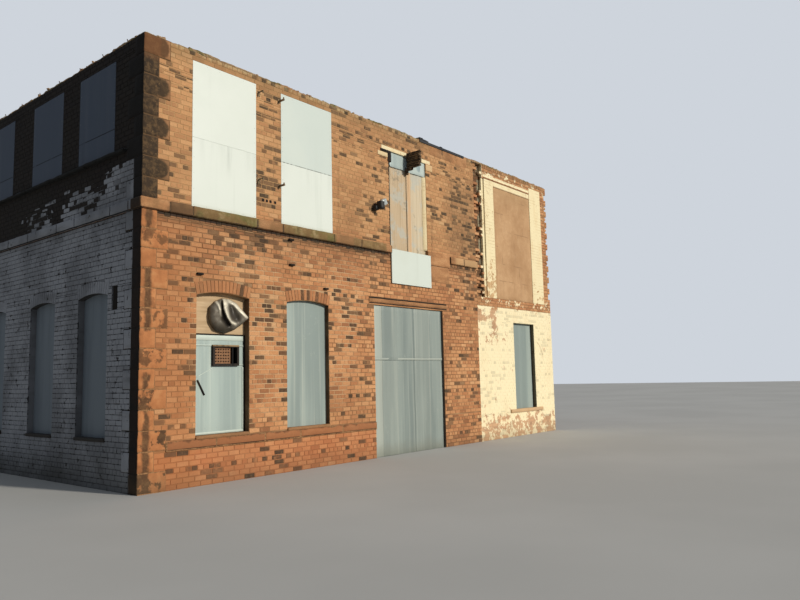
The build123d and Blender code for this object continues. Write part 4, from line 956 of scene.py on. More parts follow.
def lens_material():
    f = Finish("lamp lens")
    dirt = f.noise(10.0, 5.0)
    f.colour = f.ramp(dirt, (0.35, (140, 148, 150)), (0.65, (206, 210, 206)))
    return f.done(f.colour, 0.2, dirt, 0.05, 0.001, specular=0.5)


dark_gap = shadow_gap_material()
lamp_shell = lamp_material()
lamp_lens = lens_material()

# %% Give every CAD node its finish
FINISHES = [
    (mortars["front"], "front_wall_lower front_wall_upper window_arches"),
    (mortars["left"], "left_wall_lower left_wall_upper"),
    (mortars["back"], "back_wall_lower back_wall_upper party_wall"),
    (mortars["bay"], "bay_wall_lower bay_brick_band bay_wall_upper"),
    (corner_joints, "corner_quoins plinth_course"),
    (stone_joints, "string_course_front string_course_back"),
    (sooty_shaded_stone, "string_course_left left_sill_ledge"),
    (sandstone, "window_sills loading_door_stones yard_door_lintel"),
    (cream, "bay_pilasters bay_beam loading_door_lintel"),
    (white_board, "front_upper_boards loading_door_foot_board"),
    (side_board, "left_window_boards back_window_boards"),
    (steel, "window_2_sheet bay_window_sheet"),
    (rusty_iron, "wall_spikes lamp_bracket"),
    (concrete, "ground_floor first_floor roof_deck"),
    (felt, "roof_felt wall_head_flashing"),
    (render, "bay_panel"), (plywood, "window_1_ply"), (pale_steel, "window_1_sheet"),
    (door_steel, "yard_door_sheets"), (loading_boards, "loading_door_boards"),
    (head_steel, "loading_door_head_sheet"), (old_timber, "hoist_beam"), (vent_iron, "vent_frame"),
    (grille_plate, "vent_grille"), (cowl_metal, "window_1_cowl"), (worn_iron, "shutter_irons"),
    (lamp_shell, "lamp_head"),
]
finished = {name: finish for finish, names in FINISHES for name in names.split()}
for name, part in nodes.items():
    part.data.materials.clear()
    part.data.materials.append(finished[name])
print("finished nodes", len(finished), "left over", sorted(set(nodes) - set(finished)))

# %% [markdown]
# ## Laying bricks
#
# The real walls are in garden wall bond: three courses of stretchers, bricks with their long side out,
# then a course of headers, with their ends out. A pattern in a material would leave the edges ruler
# straight, so each brick is real. Python works out where each one goes, because it has to stop at
# windows, arches and corner stones. Geometry Nodes then put a worn brick on every one of those points.

# %% Places on the walls
TURNS = {"front": 0.0, "left": -math.pi / 2, "back": math.pi, "party": math.pi / 2}


def on_wall(side, u, z):
    """Place on a wall's face: u from its left end on the front and back, from the front on the others."""
    return {
        "front": Vector((LEFT + u, FRONT, z)),
        "back": Vector((LEFT + u, BACK, z)),
        "left": Vector((LEFT, FRONT + u, z)),
        "party": Vector((RIGHT, FRONT + u, z)),
    }[side]


print("foot of the corner", [round(v, 3) for v in on_wall("front", 0, 0)])

# %% Fields of darker bricks
DARK_EXTRA = 0.22
DARK_FIELDS = [(0.7, 5.7, 0.35, 0.45), (2.72, 5.6, 0.3, 0.6), (2.7, 7.1, 0.3, 0.3), (9.2, 6.4, 0.8, 1.0),
               (5.4, 7.3, 0.7, 0.3), (9.6, 5.3, 0.6, 0.4), (2.0, 4.45, 0.9, 0.16), (1.4, 1.9, 0.5, 0.4)]


def dark_field(side, u, z):
    """More overburnt bricks in a few places on the front, each an ellipse (u, z, half width, half height)."""
    inside = any(math.hypot((u - a) / c, (z - b) / d) < 1 for a, b, c, d in DARK_FIELDS)
    return DARK_EXTRA if side == "front" and inside else 0.0


print("dark fields", len(DARK_FIELDS))

# %% Points that carry the bricks
class BrickPoints:
    """The bricks of one piece: where they are, their size, how they are turned and how they were fired."""

    def __init__(self, seed, proud=BRICK_PROUD):
        self.rng = random.Random(seed)
        self.inset = 0.0
        self.proud = proud
        self.place, self.size, self.turn, self.tone, self.burnt = [], [], [], [], []

    def point(self, place, size, turn, tone=0.0, burnt=0.0):
        self.place.append(place)
        self.size.append(size)
        self.turn.append(turn)
        self.tone.append(tone)
        self.burnt.append(burnt)

    def brick(self, side, u, z, long, high, header=False, lean=0.0, proud=None):
        """One brick by its middle. Tone and burning come in clusters, as in bricks of one firing."""
        place = on_wall(side, u, z) + Vector((0, self.inset, 0))
        mirrored = -1 if side in ("left", "back") else 1
        turn = Matrix.Rotation(TURNS[side], 3, "Z") @ Matrix.Rotation(-lean * mirrored, 3, "Y")
        cluster = noise.noise(place * 1.1 + Vector((3.1, 0, 7.7)))
        chance = (0.30 if header else 0.12) + 0.34 * cluster + dark_field(side, u, z)
        burnt = self.rng.uniform(0.55, 1.0) if self.rng.random() < chance else 0.0
        tone = clamp(self.rng.gauss(0.50 + 0.33 * cluster, 0.18))
        self.point(place, (long, proud or self.proud, high), tuple(turn.to_euler()), tone, burnt)


def clamp(value):
    return min(1.0, max(0.0, value))


# %% Courses between two levels
LEAST_COURSE, LEAST_RUN, LEAST_BRICK = 0.014, 0.03, 0.055


def lay(points, side, u0, u1, z0, z1, holes=(), reach=None, arches=()):
    """Lays courses between two levels, leaving out holes (u0, u1, z0, z1), corner stones and arches."""
    courses = round((z1 - z0) / COURSE)
    rise = (z1 - z0) / courses
    for course in range(courses):
        low, high = z0 + course * rise, z0 + (course + 1) * rise
        cuts = {z for hole in holes for z in hole[2:] if low + LEAST_COURSE < z < high - LEAST_COURSE}
        levels = sorted({low, high} | cuts)
        for a, b in zip(levels, levels[1:]):
            middle = (a + b) / 2
            shut = [(hole[0], hole[1]) for hole in holes if hole[2] < middle < hole[3]]
            shut += reach(side, middle) if reach else []
            shut += [gap for gap in (arch_gap(*arch, middle) for arch in arches) if gap]
            at = u0
            for start, end in sorted(shut) + [(u1, u1)]:
                if start - at > LEAST_RUN:
                    lay_run(points, side, at, start, a, b, course)
                at = max(at, end)


def lay_run(points, side, start, end, low, high, course):
    """The bricks of one course between two openings. Every fourth course is headers."""
    header = course % 4 == 3
    module = HEADER if header else STRETCHER
    offset = HEADER / 2 if header else (HEADER if course % 2 else 0.0)
    first = math.ceil((start - offset) / module)
    cuts = [start]
    while offset + first * module < end:
        cut = offset + first * module
        if cut - start > LEAST_BRICK and end - cut > LEAST_BRICK:
            cuts.append(cut)
        first += 1
    cuts.append(end)
    bottom, top = low + JOINT / 2, high - JOINT / 2
    for a, b in zip(cuts, cuts[1:]):
        left = a + (0 if a == start else JOINT / 2)
        right = b - (0 if b == end else JOINT / 2)
        if right - left > 0.02 and top - bottom > 0.008:
            points.brick(side, (left + right) / 2, (bottom + top) / 2, right - left, top - bottom, header)


print("a course of", round(LENGTH / STRETCHER), "stretchers or", round(LENGTH / HEADER), "headers")

# %% Corner stones that the courses stop at
QUOIN_LONG, QUOIN_SHORT = 0.5, 0.28
LOWER_STONES, UPPER_STONES = 14, 8


def stone_reach(face, level):
    """How far the corner stone at a level reaches along a face, front faces and side faces by turns."""
    if level < STRING_BOTTOM:
        course = int(level / (STRING_BOTTOM / LOWER_STONES))
        long = course % 2 == 0
    else:
        course = int((level - STRING_TOP) / ((HEAD - STRING_TOP) / UPPER_STONES))
        long = course % 2 == 1
    return QUOIN_LONG if long == (face != "left") else QUOIN_SHORT


def left_end(side, level):
    """What the corner stones take up of a course: at its left end, and on the left wall at both ends."""
    reach = stone_reach(side, level)
    return [(0.0, reach)] + ([(DEPTH - reach, DEPTH)] if side == "left" else [])


print("first stone reaches", stone_reach("front", 0), "along the front,", stone_reach("left", 0),
      "along the side")

# %% Arches that the courses stop at
SPRING, RISE, RING = 3.33, 0.07, 0.225
SILL = 0.80
ARCH_BRICK = 0.084


def arch_circle(width):
    """Radius of an arch's underside, and the height of its hub."""
    radius = (width * width / 4 + RISE * RISE) / (2 * RISE)
    return radius, SPRING + RISE - radius


def arch_gap(centre, width, level):
    """The stretch of a course that an arched window and its ring of bricks take up."""
    radius, hub = arch_circle(width)
    if not SILL < level < SPRING + RISE + RING:
        return None
    half = width / 2
    if level > SPRING:
        outer = (radius + RING) ** 2 - (level - hub) ** 2
        ends = half * (level - hub) / (SPRING - hub)
        half = min(ends, math.sqrt(max(outer, 0.0)))
    return (centre - half, centre + half)


def lay_arch(points, side, centre, width):
    """A ring of bricks on end, each turned to point at the hub of the arch."""
    radius, hub = arch_circle(width)
    swing = math.asin(width / 2 / radius)
    middle = radius + RING / 2
    count = round(2 * swing * middle / ARCH_BRICK)
    step = 2 * swing / count
    gap = 0.006
    for i in range(count):
        angle = -swing + (i + 0.5) * step
        points.brick(side, centre + middle * math.sin(angle), hub + middle * math.cos(angle), RING - gap,
                     step * (radius + RING * 0.35) - gap, lean=math.pi / 2 - angle, proud=0.009)


print("radius of a front arch", round(arch_circle(1.16)[0], 3))

# %% [markdown]
# ## The brick layer as Geometry Nodes
#
# The tree puts a template brick on each point in that point's size and turn, tilts and seats it by chance
# from a fixed seed, and pushes its corners about with noise, so no two bricks have the same edge. The
# template is a shallow pillow: a flat face with worn edges that slope back into the mortar.

# %% Template brick
def make_object(name, build):
    """Turns a finished bmesh into an object of the scene."""
    mesh = bpy.data.meshes.new(name)
    build.to_mesh(mesh)
    build.free()
    made = bpy.data.objects.new(name, mesh)
    scene.collection.objects.link(made)
    return made


def face_forwards(build):
    """Points the faces of an open skin on the front outwards, which is towards -Y."""
    bmesh.ops.recalc_face_normals(build, faces=build.faces)
    if sum(face.normal.y for face in build.faces) > 0:
        bmesh.ops.reverse_faces(build, faces=build.faces)


def template_brick():
    """A brick one unit long, deep and high: its face is smaller than its foot."""
    build = bmesh.new()

    def ring(x, z, y):
        corners = [(-x, -z), (0, -z), (x, -z), (x, 0), (x, z), (0, z), (-x, z), (-x, 0)]
        return [build.verts.new((a, y, b)) for a, b in corners]

    face, foot = ring(0.478, 0.44, -1.0), ring(0.5, 0.5, 0.5)
    build.faces.new(face)
    for i in range(8):
        build.faces.new((face[i], foot[i], foot[(i + 1) % 8], face[(i + 1) % 8]))
    face_forwards(build)
    return make_object("template brick", build)


brick = template_brick()
print("faces of the template", len(brick.data.polygons))

# %% The tree
def layer_tree():
    """Geometry Nodes tree: a worn copy of the template on every point."""
    tree = bpy.data.node_groups.new("brick layer", "GeometryNodeTree")
    face = tree.interface
    face.new_socket("Geometry", in_out="OUTPUT", socket_type="NodeSocketGeometry")
    sockets = {}
    kinds = {"Points": "Geometry", "Template": "Object", "Material": "Material", "Tilt": "Float",
             "Seat": "Float", "Wear": "Float", "Wear Size": "Float", "Seed": "Int"}
    for name, kind in kinds.items():
        sockets[name] = face.new_socket(name, in_out="INPUT", socket_type=f"NodeSocket{kind}")
    given = add(tree, "NodeGroupInput").outputs
    size = add(tree, "GeometryNodeInputNamedAttribute", {"data_type": "FLOAT_VECTOR"}, Name="size").outputs[0]
    turn = add(tree, "GeometryNodeInputNamedAttribute", {"data_type": "FLOAT_VECTOR"}, Name="turn").outputs[0]
    copied = add(tree, "GeometryNodeObjectInfo", Object=given["Template"]).outputs["Geometry"]
    placed = add(tree, "GeometryNodeInstanceOnPoints", Points=given["Points"], Instance=copied, Rotation=turn,
                 Scale=size)
    less = calculate(tree, "MULTIPLY", given["Tilt"], -1.0)
    tilt = add(tree, "FunctionNodeRandomValue", {"data_type": "FLOAT_VECTOR"}, i0=less, i1=given["Tilt"],
               Seed=given["Seed"])
    tilted = add(tree, "GeometryNodeRotateInstances", Instances=placed.outputs[0], Rotation=tilt.outputs[0])
    seat = add(tree, "FunctionNodeRandomValue", {"data_type": "FLOAT"}, i2=0.0, i3=given["Seat"],
               Seed=given["Seed"])
    inwards = add(tree, "ShaderNodeCombineXYZ", Y=seat.outputs[1])
    seated = add(tree, "GeometryNodeTranslateInstances", Instances=tilted.outputs[0],
                 Translation=inwards.outputs[0], Local_Space=True)
    real = add(tree, "GeometryNodeRealizeInstances", Geometry=seated.outputs[0])
    here = add(tree, "GeometryNodeInputPosition").outputs[0]
    grain = add(tree, "ShaderNodeTexNoise", Vector=here, Scale=given["Wear Size"], Detail=2.0)
    off = add(tree, "ShaderNodeVectorMath", {"operation": "SUBTRACT"}, i0=grain.outputs["Color"],
              i1=(0.5, 0.5, 0.5))
    push = add(tree, "ShaderNodeVectorMath", {"operation": "SCALE"}, i0=off.outputs[0], Scale=given["Wear"])
    worn = add(tree, "GeometryNodeSetPosition", Geometry=real.outputs[0], Offset=push.outputs[0])
    done = add(tree, "GeometryNodeSetMaterial", Geometry=worn.outputs[0], Material=given["Material"])
    add(tree, "NodeGroupOutput", i0=done.outputs[0])
    return tree, sockets


brick_tree, brick_sockets = layer_tree()
print("nodes of the tree", len(brick_tree.nodes))

# %% Run the tree on a cloud of points
def build_layer(name, points, template, material, seed, tilt=0.012, seat=0.003, wear=0.007,
                wear_size=23.0):
    """Runs the tree on a cloud of points and keeps the result as a plain mesh that rides on the block."""
    mesh = bpy.data.meshes.new(name)
    mesh.from_pydata([tuple(p) for p in points.place], [], [])
    for key, values in (("size", points.size), ("turn", points.turn)):
        flat = [v for row in values for v in row]
        mesh.attributes.new(key, "FLOAT_VECTOR", "POINT").data.foreach_set("vector", flat)
    for key, values in (("tone", points.tone), ("burnt", points.burnt)):
        mesh.attributes.new(key, "FLOAT", "POINT").data.foreach_set("value", values)
    piece = bpy.data.objects.new(name, mesh)
    scene.collection.objects.link(piece)
    layer = piece.modifiers.new("layer", "NODES")
    layer.node_group = brick_tree
    for key, value in (("Template", template), ("Material", material), ("Tilt", tilt), ("Seat", seat),
                       ("Wear", wear), ("Wear Size", wear_size), ("Seed", seed)):
        layer[brick_sockets[key].identifier] = value
    depsgraph = bpy.context.evaluated_depsgraph_get()
    solid = bpy.data.meshes.new_from_object(piece.evaluated_get(depsgraph), preserve_all_data_layers=True,
                                            depsgraph=depsgraph)
    piece.modifiers.clear()
    piece.data = solid
    solid.name = name
    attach(piece, "root")
    print(name, len(points.place), "pieces", triangles(solid), "triangles")


def triangles(mesh):
    return sum(len(face.vertices) - 2 for face in mesh.polygons)


# %% [markdown]
# ## Where the holes are
#
# Every hole is a box along its wall, in metres from the wall's left end or from the front. The numbers
# are those of the CAD model's openings and stones, so the bricks stop exactly at them.

# %% Windows and arches of each wall
UPPER_WINDOWS, UPPER_WIDTH = (1.675, 3.755), 1.44
UPPER_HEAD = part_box("front_upper_boards")[1][2]
SIDE_WINDOWS, SIDE_WIDTH = (1.603, 3.618, DEPTH - 3.618, DEPTH - 1.603), 1.32
BACK_WINDOWS = [LENGTH / 6 * (i + 0.5) for i in range(6)]
SIDE_SILL, SIDE_HEAD = 5.84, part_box("left_window_boards")[1][2]
ARCHES = {"front": [(1.653, 1.16), (3.745, 1.16)], "left": [(c, 1.08) for c in SIDE_WINDOWS],
          "back": [(c, 1.08) for c in BACK_WINDOWS]}
print("arches", {side: len(arches) for side, arches in ARCHES.items()})

# %% Holes of the front, the side and the bay
def around(centre, width, low, high):
    return (centre - width / 2, centre + width / 2, low, high)


def hole_of(node):
    """The hole that a node on the front fills."""
    low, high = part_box(node)
    return (low[0] - LEFT, high[0] - LEFT, low[2], high[2])


LOADING, LOADING_SILL = (6.4, 7.86), 4.0
PADS, PAD_HEIGHT = (6.0, 8.15), 0.185
JAMB_STONE = (LOADING[1], 8.79, 4.6, 4.93)
PLINTH = (QUOIN_LONG, 5.78, 0.64, SILL)
SLOT = (0.73, 0.93, 3.06, 3.48)
LEDGE = (QUOIN_LONG, DEPTH - QUOIN_LONG, SIDE_SILL - 0.045, SIDE_SILL)
BAY_SILL = (BAY + 1.547, BAY + 3.435, 0.685, 0.775)
lintel = hole_of("loading_door_lintel")
pad_top = lintel[2]
loading_holes = [(*LOADING, LOADING_SILL, pad_top), lintel, (*PADS, pad_top - PAD_HEIGHT, pad_top),
                 JAMB_STONE]
front_lower_holes = [hole_of("yard_door_sheets"), hole_of("yard_door_lintel"), PLINTH] + loading_holes
front_upper_holes = [around(c, UPPER_WIDTH, STRING_TOP, UPPER_HEAD) for c in UPPER_WINDOWS] + loading_holes
side_holes = [around(c, SIDE_WIDTH, SIDE_SILL, SIDE_HEAD) for c in SIDE_WINDOWS] + [LEDGE]
back_holes = [around(c, SIDE_WIDTH, SIDE_SILL, SIDE_HEAD) for c in BACK_WINDOWS]
bay_window = hole_of("bay_window_sheet")
print("front holes", len(front_lower_holes) + len(front_upper_holes))

# %% Lay the front, the side, the back and the party wall
def brick_wall(number, name, side, u1, z0, z1, holes=(), reach=left_end, arches=(), proud=BRICK_PROUD):
    """Lays one wall of one storey. Its number seeds the tones of its bricks and their tilt."""
    points = BrickPoints(10 + number, proud)
    lay(points, side, 0, u1, z0, z1, holes, reach, arches)
    build_layer(name, points, brick, bricks["back" if side == "party" else side], number)


brick_wall(1, "front_bricks_lower", "front", BAY, 0, STRING_BOTTOM, front_lower_holes, arches=ARCHES["front"])
brick_wall(2, "front_bricks_upper", "front", BAY, STRING_TOP, HEAD, front_upper_holes, proud=0.0055)
brick_wall(3, "left_bricks_lower", "left", DEPTH, 0, STRING_BOTTOM, [SLOT], arches=ARCHES["left"])
brick_wall(4, "left_bricks_upper", "left", DEPTH, STRING_TOP, HEAD, side_holes)
brick_wall(5, "back_bricks_lower", "back", LENGTH, 0, STRING_BOTTOM, arches=ARCHES["back"])
brick_wall(6, "back_bricks_upper", "back", LENGTH, STRING_TOP, HEAD, back_holes)
brick_wall(7, "party_bricks", "party", DEPTH, 0, HEAD, [(0, 0.12, 3.96, HEAD)], reach=None)

# %% Lay the right-hand bay
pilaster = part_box("bay_pilasters")
CHASE, TOOTHED = pilaster[0][0] - LEFT, pilaster[1][0] - LEFT
PILASTER_TOP = pilaster[1][2]
TOOTH, TOOTH_DEPTH, TOOTH_COUNT = 0.181, 0.11, 10
CHASE_DEPTH = 0.11

bay = BrickPoints(18, proud=0.004)
lay(bay, "front", BAY, LENGTH, 0, BAND_BOTTOM, [bay_window, BAY_SILL])
bay.proud = BRICK_PROUD
lay(bay, "front", BAY, LENGTH, BAND_BOTTOM, BAND_TOP)
tooth_gaps = [(LENGTH - TOOTH_DEPTH, LENGTH, BAND_TOP + (2 * i + 1) * TOOTH, BAND_TOP + (2 * i + 2) * TOOTH)
              for i in range(TOOTH_COUNT)]
lay(bay, "front", TOOTHED, LENGTH, BAND_TOP, HEAD, tooth_gaps)
lay(bay, "front", CHASE, TOOTHED, BEAM_TOP, HEAD, [(TOOTHED - 0.7, TOOTHED, BEAM_TOP, PILASTER_TOP)])
bay.inset = CHASE_DEPTH
lay(bay, "front", BAY, CHASE, BAND_TOP, HEAD)

# %% Broken brick ends in the chase and down the toothed edge
NEAR_ENDS, FAR_ENDS = (True, (0.09, 0.25), 0.75), (False, (0.05, 0.20), 0.6)

for course in range(round((HEAD - BAND_TOP) / COURSE)):
    z = BAND_TOP + (course + 0.5) * COURSE
    for near, wide, chance in (NEAR_ENDS, FAR_ENDS):
        if bay.rng.random() < (chance if course % 2 else chance - 0.45):
            long = bay.rng.uniform(*wide)
            u = BAY + long / 2 if near else CHASE - long / 2
            bay.brick("front", u, z, long, COURSE - JOINT, proud=bay.rng.uniform(0.07, 0.112))
bay.inset = 0.0
for i in range(TOOTH_COUNT):
    z = BAND_TOP + (2 * i + 1.5) * TOOTH
    if bay.rng.random() < 0.6:
        long, proud = bay.rng.uniform(0.10, 0.2), bay.rng.uniform(0.012, 0.02)
        bay.brick("front", LENGTH - TOOTH_DEPTH - 0.04, z, long, 0.07, proud=proud)
build_layer("bay_bricks", bay, brick, bricks["bay"], 8)

# %% Turn the arches
FRONT_ARCH_TONE = 0.45

for number, (side, arches) in enumerate(ARCHES.items(), 9):
    points = BrickPoints(10 + number)
    for centre, width in arches:
        lay_arch(points, side, centre, width)
    if side == "front":
        points.tone = [tone * FRONT_ARCH_TONE for tone in points.tone]
    build_layer(f"{side}_arch_bricks", points, brick, bricks[side], number, tilt=0.008)
bpy.data.objects.remove(brick)

# %% [markdown]
# ## Worn blocks
#
# Cut stones, splintered timber and thin sheets are all boxes whose edges have gone soft and whose faces
# are no longer flat. One helper cuts a box into small squares, eases its edges and moves every point a
# little by noise: stones get soft edges and a coarse noise, sheets a thin edge and a long wave.

# %% Lines that cut a worn block
def cutting_lines(a, b, step, ease):
    """Places of the cuts along one axis: both ends, both edges that are eased, and even steps between."""
    edge = min(ease, (b - a) * 0.3)
    count = max(1, round((b - a - 2 * edge) / step))
    return [a] + [a + edge + (b - a - 2 * edge) * i / count for i in range(count + 1)] + [b]


print("lines across a sill", len(cutting_lines(0, 0.057, 0.06, 0.012)))

# %% Worn blocks
class Blocks:
    """One piece made of worn blocks. Each block keeps a tone and a dark value for its material."""

    def __init__(self):
        self.build = bmesh.new()
        self.tone = self.build.verts.layers.float.new("tone")
        self.dark = self.build.verts.layers.float.new("dark")

    def add(self, low, high, step=0.06, ease=0.012, rough=0.004, scale=9.0, tone=0.5, dark=0.0, turn=None):
        """A worn block between two corners. Rough is how far noise may move its points."""
        lines = [cutting_lines(a, b, step, ease) for a, b in zip(low, high)]
        last = [len(line) - 1 for line in lines]
        middle = (Vector(low) + Vector(high)) / 2
        reach = rough if isinstance(rough, tuple) else (rough, rough, rough)
        made = {}

        def point(index):
            if index not in made:
                place = Vector([line[i] for line, i in zip(lines, index)])
                ends = [axis for axis in range(3) if index[axis] in (0, last[axis])]
                for axis in ends if len(ends) > 1 else ():
                    other = 1 if index[axis] == 0 else last[axis] - 1
                    place[axis] += (lines[axis][other] - place[axis]) * 0.4
                wave = noise.noise_vector(place * scale)
                place += Vector([w * r for w, r in zip(wave, reach)])
                if turn:
                    place = middle + turn @ (place - middle)
                made[index] = self.build.verts.new(place)
                made[index][self.tone] = tone
                made[index][self.dark] = dark
            return made[index]

        faces = []
        for axis in range(3):
            a, b = [other for other in range(3) if other != axis]
            for end in (0, last[axis]):
                for i in range(last[a]):
                    for j in range(last[b]):
                        corners = []
                        for di, dj in ((0, 0), (1, 0), (1, 1), (0, 1)):
                            index = [0, 0, 0]
                            index[axis], index[a], index[b] = end, i + di, j + dj
                            corners.append(point(tuple(index)))
                        faces.append(self.build.faces.new(corners))
        bmesh.ops.recalc_face_normals(self.build, faces=faces)

    def on(self, along, deep, level, side="front", **look):
        """A block on a wall: its two ends along it, how far in from the face it lies, and its two levels."""
        (u0, u1), (d0, d1), (z0, z1) = along, deep, level
        if side == "left":
            self.add((LEFT + d0, FRONT + u0, z0), (LEFT + d1, FRONT + u1, z1), **look)
        elif side == "back":
            self.add((LEFT + u0, BACK - d1, z0), (LEFT + u1, BACK - d0, z1), **look)
        else:
            self.add((LEFT + u0, FRONT + d0, z0), (LEFT + u1, FRONT + d1, z1), **look)

    def around(self, middle, half, **look):
        """A block given by its middle and half its size, for one that is turned."""
        self.add(Vector(middle) - Vector(half), Vector(middle) + Vector(half), **look)

    def done(self, name, material, slot, replaces=None):
        """Ends the piece: an object that rides on the block. Its slot is not used."""
        piece = make_object(name, self.build)
        piece.data.materials.append(material)
        piece.data.shade_smooth()
        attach(piece, "root")
        if replaces:
            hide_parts(*replaces)
        print(name, "triangles", triangles(piece.data))


rng = random.Random(5)

# %% [markdown]
# ## Corner stones and stone bands
#
# The corner stones lie long and short by turns, and the band is laid in lengths of about 1.3 m. The CAD
# stones stay underneath in the colour of an open joint, so the gaps between the worn stones read as dark
# joints.

# %% Corner stones
STONE_PROUD, STONE_GAP, STONE_BED = 0.017, 0.003, 0.004

corner = Blocks()
for bottom, top, count in ((0.0, STRING_BOTTOM, LOWER_STONES), (STRING_TOP, HEAD, UPPER_STONES)):
    rise = (top - bottom) / count
    for course in range(count):
        middle = bottom + (course + 0.5) * rise
        front, side = stone_reach("front", middle), stone_reach("left", middle)
        tone = rng.uniform(0.0, 1.0)
        dark = rng.uniform(0.65, 1.0) if front == QUOIN_LONG else rng.uniform(0.0, 0.35)
        z0 = max(0.010, bottom + course * rise + STONE_BED)
        z1 = bottom + (course + 1) * rise - STONE_BED
        for wall in ("front", "back"):
            corner.on((-STONE_PROUD, front - STONE_GAP), (-STONE_PROUD, side - STONE_GAP), (z0, z1), wall,
                      ease=0.016, rough=0.006, tone=tone, dark=dark)
corner.done("corner_stones", corner_stone, "sandstone")

# %% String course and plinth
BAND_PROUD, BAND_LEVEL = 0.068, (STRING_BOTTOM - 0.004, STRING_TOP + 0.004)

band = Blocks()


def band_run(side, cuts, deep, level=BAND_LEVEL):
    """Stones end to end between the given places along a wall."""
    for a, b in zip(cuts, cuts[1:]):
        band.on((a + STONE_GAP, b - STONE_GAP), deep, level, side, step=0.08, ease=0.022,
                rough=(0.007, 0.009, 0.007), scale=6.0, tone=rng.uniform(0.0, 0.9))


band_run("front", [-0.067, 0.5], (-BAND_PROUD, 0.34))
band_run("front", [0.5, 0.955, 2.395, 3.035, 4.475, 5.35, 6.4], (-BAND_PROUD, 0.1))
band_run("front", [8.79, 9.4, 10.06], (-BAND_PROUD, 0.1))
band_run("left", [0.345, 0.95, 2.27, 3.0, 4.28, 5.25, 6.6, 7.9, DEPTH - 0.345], (-BAND_PROUD, 0.1))
band_run("back", [-0.067, 0.6, 2.0, 3.3, 4.7, 6.0, 7.4, 8.7, 10.0, 11.4, 12.8, LENGTH], (-BAND_PROUD, 0.1))
band_run("front", [0.5, 1.5, 2.6, 3.5, 4.7, 5.78], (-0.028, 0.06), (0.642, 0.803))
band.done("band_stones", band_stone, "sandstone")

# %% Sills, stones beside the loading door and at the wall head
dressed = Blocks()
for side, deep, tone in (("front", 0.14, 0.7), ("left", 0.11, 0.8), ("back", 0.11, 0.6)):
    for centre, width in ARCHES[side]:
        dressed.on((centre - width / 2, centre + width / 2), (-0.036, deep), (0.798, 0.855), side, tone=tone)
coarse = {"step": 0.08, "ease": 0.02}
dressed.on((7.864, 8.786), (-0.032, 0.06), (4.604, 4.934), rough=0.006, tone=0.0, **coarse)
dressed.on((7.95, 8.76), (-0.012, 0.05), (4.17, 4.59), rough=0.005, tone=0.1, **coarse)
for along in ((8.05, 8.6), (8.62, 9.2), (9.22, 9.75)):
    dressed.on(along, (-0.011, 0.05), (HEAD - 0.3, HEAD - 0.005), rough=0.006, tone=0.1, **coarse)
for along in ((BAY_SILL[0], BAY + 2.5), (BAY + 2.5, BAY_SILL[1])):
    dressed.on(along, (-0.046, 0.1), (0.683, 0.779), tone=0.5)
dressed.done("dressed_stones", sandstone, "sandstone")

# %% Painted pads of the loading door and the mortar down its right jamb
pads = Blocks()
pads.on((6.003, 6.37), (-0.017, 0.05), (pad_top - PAD_HEIGHT, pad_top - 0.072), rough=0.006)
pads.on((7.863, 8.147), (-0.017, 0.05), (pad_top - PAD_HEIGHT, pad_top - 0.010), rough=0.006)
slope = Matrix.Rotation(math.radians(-29), 3, "Z")
pads.around((LEFT + 7.811, FRONT + 0.033, 5.905), (0.056, 0.005, 0.95), step=0.05, ease=0.004,
            rough=(0.005, 0.005, 0.003), scale=11.0, turn=slope)
pads.done("pad_stones", cream, "cream_paint")

# %% Ledge under the upper side windows
LEDGE_CUTS = [QUOIN_LONG, 1.9, 2.9, 4.4, 5.6, 7.2, DEPTH - QUOIN_LONG]

ledge = Blocks()
for a, b in zip(LEDGE_CUTS, LEDGE_CUTS[1:]):
    droop = rng.uniform(-0.010, 0.004)
    ledge.on((a + STONE_GAP, b - STONE_GAP), (-0.09, 0.1), (5.790 + droop, 5.846 + droop), "left", step=0.08,
             rough=(0.012, 0.006, 0.008), scale=4.0, tone=1.0)
ledge.done("ledge_stones", sooty_shaded_stone, "sandstone")

# %% [markdown]
# ## Top of the walls
#
# The coping is gone. What is left is the bedding mortar, in a ragged ridge with lumps of brick and moss
# on it. The ridge is a row of worn blocks. The lumps are scattered by the same Geometry Nodes tree as the
# bricks: a rough stone on every point, each with its own size, turn and tone.

# %% Mortar ridge
RIDGE_FOOT, WALL_DEPTH, RIDGE_PROUD = HEAD - 0.02, 0.33, 0.004
BARE = (7.64, 9.6)

ridge = Blocks()


def ridge_run(low, high, axis):
    """Mortar blocks of chance length and height in a row, along x for axis 0 and along y for axis 1."""
    at = low[axis]
    while at < high[axis] - 0.01:
        end = min(high[axis], at + rng.uniform(0.35, 0.9))
        a, b = [*low, RIDGE_FOOT], list(high)
        a[axis], b[axis] = at, end
        b[2] += rng.uniform(-0.014, 0.020)
        ridge.add(a, b, step=0.05, rough=(0.014, 0.014, 0.020), scale=8.0, tone=rng.uniform(0, 0.6))
        at = end


inner_front, inner_back = FRONT + WALL_DEPTH, BACK - WALL_DEPTH
ridge_run((LEFT - RIDGE_PROUD, FRONT - RIDGE_PROUD), (LEFT + BARE[0], inner_front, HEAD + 0.026), 0)
ridge_run((LEFT + BARE[1], FRONT - RIDGE_PROUD), (RIGHT - RIDGE_PROUD, inner_front, HEAD + 0.022), 0)
ridge_run((LEFT - RIDGE_PROUD, inner_front), (LEFT + WALL_DEPTH, inner_back, HEAD + 0.022), 1)
ridge_run((RIGHT - WALL_DEPTH, inner_front), (RIGHT + RIDGE_PROUD, inner_back, HEAD + 0.02), 1)
ridge_run((LEFT - RIDGE_PROUD, inner_back), (RIGHT - RIDGE_PROUD, BACK + RIDGE_PROUD, HEAD + 0.024), 0)
ridge.done("wall_head_ridge", head_mortar, "concrete")

